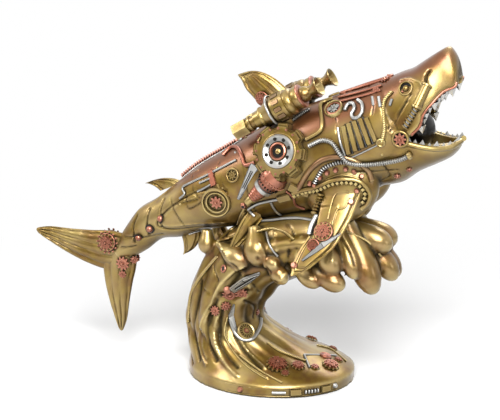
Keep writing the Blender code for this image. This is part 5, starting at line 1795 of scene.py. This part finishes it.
def add_hoses(surface, group, side):
    """Ribbed hose, the coil beside the gauge and the hose under the tanks."""
    main = surface.flank_line(((179.1, 10.2), (188.9, 10.4), (194.9, 6.6), (197.2, -1.2),
                               (199.6, -8.4), (206.7, -13.1), (216.7, -16.6), (231, -19.9),
                               (239, -19.6)), side, 2.3)
    group.hose("silver", main, 1.75, 1.5, 0.20)
    way = (main[-1] - main[-2]).normalized()
    group.dish("gold", (main[-1], way), ((1.9, -1.5), (2.6, -1.2), (2.6, 0.6), (1.8, 1.4)))
    coil = surface.flank_line(((208.8, 22.6), (211.5, 25.2), (214.8, 24.6), (215.6, 21.6),
                               (213.0, 19.0), (213.6, 16.2), (217.4, 15.6), (220.6, 18.2),
                               (221.2, 22.4), (218.6, 25.4)), side, 0.9)
    group.rod("silver", coil, 1.25)
    back = surface.flank_line(((166, 27.5), (174, 30), (183, 31.5)), side, 0.8)
    group.hose("silver", back, 1.3, 1.3, 0.18)


def add_rings(surface, group, side):
    """Gear discs on the tail, the back fin and the side fin, each in a ring."""
    for along, rise, radius in ((-1.6, -2.2, 6.4), (151.8, 50.4, 4.6), (169.3, -44.8, 6.2),
                                (160.3, -50.4, 4.0)):
        spot = surface.flank(along, rise, side, 0.5)
        # Black disc of painted shade under each rosette
        group.disc("black", spot, radius * 1.10, 24, 0.05)
        group.rosette(spot, radius)
        group.ring("copper", (spot[0] + spot[1] * 0.3 * MM, spot[1]), radius * 0.98, 0.6)
    spot = surface.flank(-1.6, -2.2, side, 0.4)
    group.studs("copper", on_ring(spot, 7.9, 14, 0.9), 8, 0.5, 1.0, 0.9)


def make_back():
    """Twisted ribs along the back, and copper rings on the crown of the head."""
    surface = MADE["shark"]
    shark = surface.shark
    group = Group("back")
    down = -shark.above
    line = []
    for along in range(74, 124, 6):
        place, normal = surface.cast(shark.at(along * MM, ABOVE_BACK), down)
        line.append(place - shark.above * 1.2 * MM)
    group.spring("copper", line, 4.4, 2.0)
    for shift in (-4.2, 4.2):
        edge = []
        for along in range(72, 128, 6):
            start = shark.at(along * MM, ABOVE_BACK, shift * MM)
            edge.append(surface.cast(start, down)[0])
        group.rope("silver", edge, 0.9)
    for along in (128, 133, 206, 212, 240):
        place, normal = surface.cast(shark.at(along * MM, ABOVE_BACK), down)
        group.dish("copper", (place, normal), ((3.0, -1.5), (3.0, 0.8), (2.2, 1.4), (1.4, 0.6)))
    group.finish()


def make_hoods():
    """Arch over each side fin: plain band, coil and studs inside it, toothed band below."""
    surface = MADE["all"]
    group = Group("hoods")
    for side in SIDES:
        arch = surface.flank_line(((158.5, -13.8), (164.2, -10.0), (170.5, -5.8), (176.4, -3.0),
                                   (184.8, -1.3), (193.7, -2.9), (200.5, -6.8), (205.6, -12.6),
                                   (208.2, -20.0), (207.6, -27.0)), side, 0.2)
        group.rod("bronze", arch, 2.0)
        coil = surface.flank_line(((172.2, -13.4), (181.6, -7.1), (190.4, -6.5), (195.6, -7.4),
                                   (201.5, -11.0)), side, 0.8)
        group.spring("silver", coil, 1.7, 1.8)
        for along, rise in ((168.4, -12.8), (170.9, -15.2), (177.0, -11.6), (183.0, -10.3),
                            (189.2, -10.8), (195.8, -12.5), (199.8, -16.3), (203.0, -21.5)):
            spot = surface.flank(along, rise, side, 0.2)
            group.studs("copper", [(*spot, 1.9)], 12, 0.6, 1.0, 1.1)
        band = surface.flank_line(((153.3, -15.2), (163.1, -15.8), (170.2, -17.3), (177.3, -17.0),
                                   (184.2, -16.9), (192.7, -19.0), (200.1, -23.4),
                                   (202.7, -28.5), (202.7, -35.0), (198.4, -39.9),
                                   (193.5, -41.5)), side, 0.5)
        group.rod("gold", band, 1.7)
        teeth = surface.flank_line(((153.5, -17.6), (163.1, -18.2), (170.2, -19.6), (177.3, -19.3),
                                    (184.2, -19.2), (192.0, -21.2), (198.6, -25.0),
                                    (200.6, -29.0), (200.6, -34.2), (197.0, -37.9)), side, 0.4)
        out = Vector((0, -side, 0.25)).normalized()
        blocks = [(place, out, 1.7) for place in path_through(teeth, 3.0 * MM)]
        group.studs("gold", blocks, 4, 0.75, 1.0, 1.3)
    group.finish()


def make_pectoral_trim():
    """Ribbed strut, silver rod and silver wedges on each side fin."""
    surface = MADE["all"]
    group = Group("side_fins")
    for side in SIDES:
        strut = surface.flank_line(((173.8, -22.0), (169.4, -27.6), (164.9, -33.3)), side, 1.3)
        group.hose("gold", strut, 2.5, 2.3, 0.26)
        thin = surface.flank_line(((165.3, -33.8), (162.2, -38.8), (159.1, -43.8)), side, 1.2)
        group.rod("silver", thin, 1.8)
        first, out = surface.flank(150.4, -56.6, side, 0.5)
        second, out = surface.flank(166.0, -52.4, side, 0.6)
        third, out = surface.flank(179.1, -50.1, side, 0.4)
        group.wedge("silver", first, second, out, (1.2, 3.6), 1.6)
        group.wedge("silver", second, third, out, (3.6, 0.8), 1.6)
    group.finish()


# Trim on the wave

# Lines on the wave's side: paint, kind, points (x, z) and radius in millimetres
SIDE_LINES = (
    ("silver", "rod", ((-14.9, 106.1), (-10.6, 113.0), (-4.2, 115.7), (4.9, 117.6),
                       (14.8, 119.7), (25.1, 120.9), (36, 120.6)), 1.1),
    ("silver", "rod", ((3.7, 111.0), (9.1, 104.4), (14.4, 97.4)), 0.8),
    ("gold", "rope", ((-1.6, 112.3), (6.5, 113.4), (17.2, 112.7), (25.1, 109.8)), 1.1),
    ("gold", "rope", ((60, 114.5), (73.1, 107.9), (80.8, 97.5)), 1.0),
    ("gold", "rope", ((-33.0, 89.1), (-42.7, 77.7), (-48.7, 69.2), (-54.1, 58.9), (-56.1, 48.2),
                      (-56.9, 37.5)), 1.3),
    ("gold", "rope", ((-24.1, 47.0), (-25.2, 36.8), (-20.4, 28.6), (-11.2, 20.8), (-0.8, 16.1),
                      (10.0, 12.6)), 0.8),
    ("gold", "rod", ((-31.6, 101.1), (-25.5, 102.4), (-18.4, 106.6), (-13.6, 114.5)), 1.2),
    ("gold", "rod", ((-31.6, 101.1), (-27.0, 106.0), (-20.0, 112.0)), 1.0),
)
# Lines on top of the foot: paint, kind, points (x, y) and radius in millimetres
TOP_LINES = (
    ("gold", "rope", ((-12.6, -34.3), (4.9, -40.4), (20.4, -43.9)), 1.1),
    ("silver", "rod", ((26.8, -9.6), (44.8, 9.9)), 0.8),
    ("silver", "rod", ((26.8, -9.6), (34.5, -22.6)), 0.8),
    ("gold", "rope", ((3.0, -18.8), (10.7, -19.4), (19.1, -17.8), (29.1, -16.5)), 1.3),
    ("gold", "rope", ((28.9, 17.5), (37.9, 20.8), (52.4, 7.7)), 0.9),
)
# Gears on the wave's side (x, z) and on the foot (x, y), with radius in millimetres and teeth
SIDE_GEARS = ((-22.8, 64.6, 5.4, 12), (-14.1, 66.0, 4.3, 10), (-32.3, 52.1, 3.7, 10),
              (-25.5, 56.0, 3.5, 9), (-8.9, 46.3, 2.2, 8))
TOP_GEARS = ((13.9, -31.4, 7.8, 14), (27.0, -25.2, 5.0, 11), (46.2, -9.3, 6.2, 12),
             (48.1, 3.4, 3.4, 9), (21.0, -36.4, 3.2, 8), (37.5, -19.0, 3.4, 8),
             (0.0, 36.0, 6.0, 12), (20.0, 33.0, 4.6, 10), (38.0, 26.0, 3.4, 8))


def make_wave_trim():
    """Ropes, rods, gears and the slotted link on the wave."""
    surface = MADE["wave"]
    group = Group("wave_trim")
    for side in SIDES:
        for colour, kind, points, radius in SIDE_LINES:
            path = surface.side_line(points, side, radius * 0.5)
            getattr(group, kind)(colour, path, radius)
        for x, z, radius, teeth in SIDE_GEARS:
            spot = (*surface.side(x, z, side, 0.2), radius)
            group.gears("copper", [spot], teeth, 0.72, 0.32)
        start, out = surface.side(0.8, 83.4, side, 0.9)
        middle, out = surface.side(-10.0, 76.4, side, 1.5)
        end, out = surface.side(-21.0, 69.2, side, 2.2)
        group.wedge("silver", start, middle, out, (0.8, 6.4), 2.2, 0.4)
        group.wedge("silver", middle, end, out, (6.4, 4.6), 2.2, 0.4)
        slot = (start.lerp(middle, 0.35) + out * 1.0 * MM, end.lerp(middle, 0.25) + out * 1.0 * MM)
        # Black bar of painted shade for the slot
        group.bar("black", *slot, out, 1.8, 1.6, 0.1)
        group.rod("silver", [spot + out * 0.7 * MM for spot in slot], 0.35)
        group.studs("copper", [(*surface.side(-23.4, 68.8, side, 0.6), 2.8)], 16, 0.6, 1.0, 0.9)
        leaf = [surface.side(x, z, side, 0.5)[0] for x, z in ((-19.3, 57.4), (-21.8, 48.0),
                                                              (-18.1, 37.8))]
        group.wedge("silver", leaf[0], leaf[1], out, (0.8, 4.0), 1.4)
        group.wedge("silver", leaf[1], leaf[2], out, (4.0, 0.8), 1.4)
        spot = surface.side(-25.7, 83.7, side, 0.2)
        group.ring("copper", spot, 2.2, 0.8)
        # Black disc of painted shade inside the copper ring
        group.disc("black", spot, 1.6, 12, 0.3)
        back = 0.0 if side > 0 else 7.0
        hook = [(x - back, z) for x, z in ((-22.7, 45.6), (-19.4, 37.2), (-14.7, 33.0),
                                           (-10.4, 31.8), (-6.5, 32.7), (-5.6, 36.4),
                                           (-7.2, 40.8))]
        group.rod("silver", surface.side_line(hook, side, 0.65), 1.3)
        spot = surface.side(-11.9 - back, 37.2, side)
        group.dish("gold", spot, ((6.5, -2.0), (6.5, 1.0), (5.8, 1.7), (5.0, 1.3), (4.8, 0.5),
                                  (0.1, 0.4)))
        group.gears("gold", [(spot[0] + spot[1] * 0.4 * MM, spot[1], 4.9)], 16, 0.55, 0.16)
        group.studs("copper", [(*spot, 2.4)], 14, 0.6, 1.0, 0.9)
    group.finish()


def make_foot_trim():
    """Gears and trims on the foot, and the band of machine parts round its edge."""
    surface = MADE["wave"]
    group = Group("foot_trim")
    for colour, kind, points, radius in TOP_LINES:
        path = surface.top_line(points, radius * 0.4)
        getattr(group, kind)(colour, path, radius)
    for x, y, radius, teeth in TOP_GEARS:
        group.rosette(surface.top(x, y, 0.2), radius, teeth)
    spot = surface.top(39.3, 1.6)
    group.dish("copper", spot, ((4.4, -1.5), (4.4, 0.8), (3.8, 1.4), (2.6, 1.0), (1.2, 1.6),
                                (0.1, 1.8)))
    for side in SIDES:
        add_edge_band(group, side)
    group.finish()


def edge_point(degrees, high_mm, out_mm=0.0):
    """Point and way out on the foot's upright edge."""
    sizes = settings("wave_sizes")
    angle = math.radians(degrees)
    place = Vector((math.cos(angle) * sizes.foot_length / 2, math.sin(angle) * sizes.foot_width / 2,
                    high_mm * MM))
    normal = Vector((math.cos(angle) / sizes.foot_length, math.sin(angle) / sizes.foot_width, 0))
    return place + normal.normalized() * out_mm * MM, normal.normalized()


def add_edge_band(group, side):
    """Frame line, stud, rod, blocks and spring along the foot's edge."""
    def run(start, end, high, out, steps=9):
        return [edge_point(-side * degrees, high, out)[0]
                for degrees in np.linspace(start, end, steps)]
    group.rod("gold", run(25, 108, 7.2, 0.1, 15), 0.5)
    group.rod("gold", run(25, 108, 1.4, 0.1, 15), 0.5)
    group.rod("silver", run(66, 75, 4.3, 0.5), 1.1)
    group.spring("silver", run(43, 52, 4.3, 0.8), 1.6)
    group.studs("copper", [(*edge_point(-side * 97, 4.3), 2.2)])
    group.studs("silver", [(*edge_point(-side * 27, 4.6), 2.0)])
    for start, end in ((55, 63), (32, 40)):
        first, out = edge_point(-side * start, 4.3, 0.5)
        second, out = edge_point(-side * end, 4.3, 0.5)
        group.bar("gold", first, second, out, 4.6, 2.2, 0.5)


# Stage

FLOOR_HALF = 6.0
# Distance from the foot's middle where the floor starts to turn white, and where it is white
FLOOR_FADE_START = 0.16
FLOOR_FADE_END = 0.42


def make_stage():
    """White floor, soft lamps and the camera."""
    material = bpy.data.materials.new("white_floor")
    material.use_nodes = True
    shader = material.node_tree.nodes["Principled BSDF"]
    shader.inputs["Base Color"].default_value = (0.86, 0.86, 0.86, 1.0)
    shader.inputs["Roughness"].default_value = 0.9
    shader.inputs["Specular IOR Level"].default_value = 0.0
    fade_to_white(material.node_tree, shader)
    corners = ((-1, -1), (1, -1), (1, 1), (-1, 1))
    mesh = plain_mesh([(x * FLOOR_HALF, y * FLOOR_HALF, 0) for x, y in corners], [],
                      [(0, 1, 2, 3)])
    mesh.materials.append(material)
    floor = bpy.data.objects.new("floor", mesh)
    bpy.context.scene.collection.objects.link(floor)
    light_world()
    target = Vector((0.0, 0.0, 0.11))
    add_lamp("key_lamp", (0.28, -0.85, 0.85), target, 0.70, 22.0)
    add_lamp("side_lamp", (-0.80, -0.35, 0.75), target, 0.35, 3.5)
    add_lamp("nose_lamp", (0.95, -0.30, 0.35), target, 0.25, 0.8)
    add_lamp("rim_lamp", (0.1, 0.75, 0.95), target, 0.6, 5.0)
    add_camera()


def fade_to_white(tree, shader):
    """Let the floor keep its shadow near the object and turn pure white further out."""
    place = add_node(tree, "ShaderNodeTexCoord").outputs["Object"]
    away = add_node(tree, "ShaderNodeVectorMath", {0: place}, operation="LENGTH").outputs["Value"]
    share = ranged(tree, away, FLOOR_FADE_START, FLOOR_FADE_END, 0.0, 1.0, "SMOOTHSTEP")
    glow = add_node(tree, "ShaderNodeEmission", {"Color": (1.0, 1.0, 1.0, 1.0), "Strength": 1.0})
    seen = add_node(tree, "ShaderNodeLightPath").outputs["Is Camera Ray"]
    fade = number(tree, "MULTIPLY", share, seen)
    blend = add_node(tree, "ShaderNodeMixShader")
    tree.links.new(fade, blend.inputs[0])
    tree.links.new(shader.outputs[0], blend.inputs[1])
    tree.links.new(glow.outputs[0], blend.inputs[2])
    tree.links.new(blend.outputs[0], tree.nodes["Material Output"].inputs["Surface"])


# Side of the room that stays dark in reflections, and how bright it is there; the share of the
# white room that lights the object
ROOM_SIDE = (0.30, -0.80, -0.52)
DARK_SIDE_LEVEL = 0.20
ROOM_LIGHT = 0.22


def light_world():
    """White behind the object, and a lower level for the light that falls on it."""
    world = bpy.data.worlds.new("studio")
    bpy.context.scene.world = world
    world.use_nodes = True
    tree = world.node_tree
    background = tree.nodes["Background"]
    background.inputs["Color"].default_value = (1.0, 1.0, 1.0, 1.0)
    path = add_node(tree, "ShaderNodeLightPath").outputs
    seen = number(tree, "MAXIMUM", path["Is Camera Ray"],
                  number(tree, "MAXIMUM", path["Is Glossy Ray"], path["Is Transmission Ray"]))
    strength = ranged(tree, seen, 0.0, 1.0, ROOM_LIGHT, 1.0)
    way = add_node(tree, "ShaderNodeTexCoord").outputs["Generated"]
    ahead = add_node(tree, "ShaderNodeVectorMath", {0: way, 1: ROOM_SIDE},
                     operation="DOT_PRODUCT").outputs["Value"]
    room = ranged(tree, ahead, -0.35, 0.55, 1.0, DARK_SIDE_LEVEL, "SMOOTHSTEP")
    dimmed = number(tree, "MAXIMUM", room, path["Is Camera Ray"])
    level = number(tree, "MULTIPLY", strength, dimmed)
    tree.links.new(level, background.inputs["Strength"])
    bpy.context.scene.view_settings.view_transform = "Standard"


def add_lamp(name, place, target, size, power):
    """Soft square lamp turned to a target."""
    lamp = bpy.data.lights.new(name, "AREA")
    lamp.size = size
    lamp.energy = power
    item = bpy.data.objects.new(name, lamp)
    item.location = place
    item.rotation_euler = (target - Vector(place)).to_track_quat("-Z", "Y").to_euler()
    bpy.context.scene.collection.objects.link(item)


# Place of the camera: degrees round and up, metres away, and metres to the pixel of the photo
CAMERA_ROUND = 18.0
CAMERA_RISE = 15.0
CAMERA_AWAY = 1.2
PIXEL = 0.0007
PICTURE_WIDTH = 500
PICTURE_MIDDLE = (250, 210)
ORIGIN_PIXEL = (272, 376)
SENSOR_MM = 36.0


def add_camera():
    """Camera as it stood for the photo."""
    turn = math.radians(CAMERA_ROUND)
    rise = math.radians(CAMERA_RISE)
    back = Vector((math.sin(turn) * math.cos(rise), -math.cos(turn) * math.cos(rise),
                   math.sin(rise)))
    right = Vector((math.cos(turn), math.sin(turn), 0.0))
    up = back.cross(right)
    target = (right * (PICTURE_MIDDLE[0] - ORIGIN_PIXEL[0]) * PIXEL
              + up * (ORIGIN_PIXEL[1] - PICTURE_MIDDLE[1]) * PIXEL)
    target -= back * target.y / back.y
    camera = bpy.data.cameras.new("photo_camera")
    camera.sensor_width = SENSOR_MM
    camera.lens = SENSOR_MM * CAMERA_AWAY / (PICTURE_WIDTH * PIXEL)
    item = bpy.data.objects.new("photo_camera", camera)
    item.matrix_world = (Matrix.Translation(target + back * CAMERA_AWAY)
                         @ Matrix((right, up, back)).transposed().to_4x4())
    bpy.context.scene.collection.objects.link(item)
    bpy.context.scene.camera = item


# Operators, panel and the run

class FIGURINE_OT_paints(bpy.types.Operator):
    """Make the paints and the node trees"""
    bl_idname = "figurine.paints"
    bl_label = "Paints"

    def execute(self, context):
        PAINTS.update(make_paints())
        TREES.update(ribbed=ribbed_tree(), strung=strung_tree(), studs=studs_tree(),
                     gears=gears_tree())
        return {"FINISHED"}


class FIGURINE_OT_shark(bpy.types.Operator):
    """Make the shark's skin"""
    bl_idname = "figurine.shark"
    bl_label = "Shark skin"

    def execute(self, context):
        make_shark_skin()
        return {"FINISHED"}


class FIGURINE_OT_fins(bpy.types.Operator):
    """Make the fins"""
    bl_idname = "figurine.fins"
    bl_label = "Fins"

    def execute(self, context):
        make_fins()
        skins = [bpy.data.objects[name].data for name in ("shark_skin", "fins_gold")]
        MADE["all"] = Surface(joined(skins), Shark())
        return {"FINISHED"}


class FIGURINE_OT_wave(bpy.types.Operator):
    """Make the wave and its foot"""
    bl_idname = "figurine.wave"
    bl_label = "Wave"

    def execute(self, context):
        make_wave()
        return {"FINISHED"}


class FIGURINE_OT_machine(bpy.types.Operator):
    """Make the tanks, ports, hoods and the trim on the flanks"""
    bl_idname = "figurine.machine"
    bl_label = "Machine parts"

    def execute(self, context):
        make_tanks()
        make_ports()
        make_flank_trim()
        make_back()
        make_hoods()
        make_pectoral_trim()
        return {"FINISHED"}


class FIGURINE_OT_head(bpy.types.Operator):
    """Make the eyes, teeth, gills and struts"""
    bl_idname = "figurine.head"
    bl_label = "Head"

    def execute(self, context):
        make_head()
        return {"FINISHED"}


class FIGURINE_OT_trim(bpy.types.Operator):
    """Make the trim on the wave and round the foot"""
    bl_idname = "figurine.trim"
    bl_label = "Wave trim"

    def execute(self, context):
        make_wave_trim()
        make_foot_trim()
        return {"FINISHED"}


class FIGURINE_OT_stage(bpy.types.Operator):
    """Make the floor, lamps and camera"""
    bl_idname = "figurine.stage"
    bl_label = "Stage"

    def execute(self, context):
        make_stage()
        return {"FINISHED"}


STEPS = (FIGURINE_OT_paints, FIGURINE_OT_shark, FIGURINE_OT_fins, FIGURINE_OT_wave,
         FIGURINE_OT_machine, FIGURINE_OT_head, FIGURINE_OT_trim, FIGURINE_OT_stage)
GROUPS = {"shark_sizes": SharkSizes, "fin_sizes": FinSizes, "wave_sizes": WaveSizes,
          "ornament_sizes": OrnamentSizes, "paint_colours": PaintColours}


class FIGURINE_PT_panel(bpy.types.Panel):
    """Sizes, colours and steps of the figurine"""
    bl_idname = "FIGURINE_PT_panel"
    bl_label = "Clockwork shark"
    bl_space_type = "VIEW_3D"
    bl_region_type = "UI"
    bl_category = "Figurine"

    def draw(self, context):
        for name, group in GROUPS.items():
            box = self.layout.box()
            box.label(text=group.__doc__)
            for field in group.__annotations__:
                box.prop(getattr(context.scene, name), field)
        for step in STEPS:
            self.layout.operator(step.bl_idname)


def register():
    """Register the property groups, operators and panel."""
    for name, group in GROUPS.items():
        bpy.utils.register_class(group)
        setattr(bpy.types.Scene, name, PointerProperty(type=group))
    for item in (*STEPS, FIGURINE_PT_panel):
        bpy.utils.register_class(item)


def unregister():
    """Take them out again."""
    for item in reversed((*STEPS, FIGURINE_PT_panel)):
        bpy.utils.unregister_class(item)
    for name, group in GROUPS.items():
        delattr(bpy.types.Scene, name)
        bpy.utils.unregister_class(group)


def main():
    """Build the figurine."""
    register()
    for step in STEPS:
        folder, name = step.bl_idname.split(".")
        getattr(getattr(bpy.ops, folder), name)()
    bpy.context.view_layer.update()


if __name__ == "__main__":
    main()
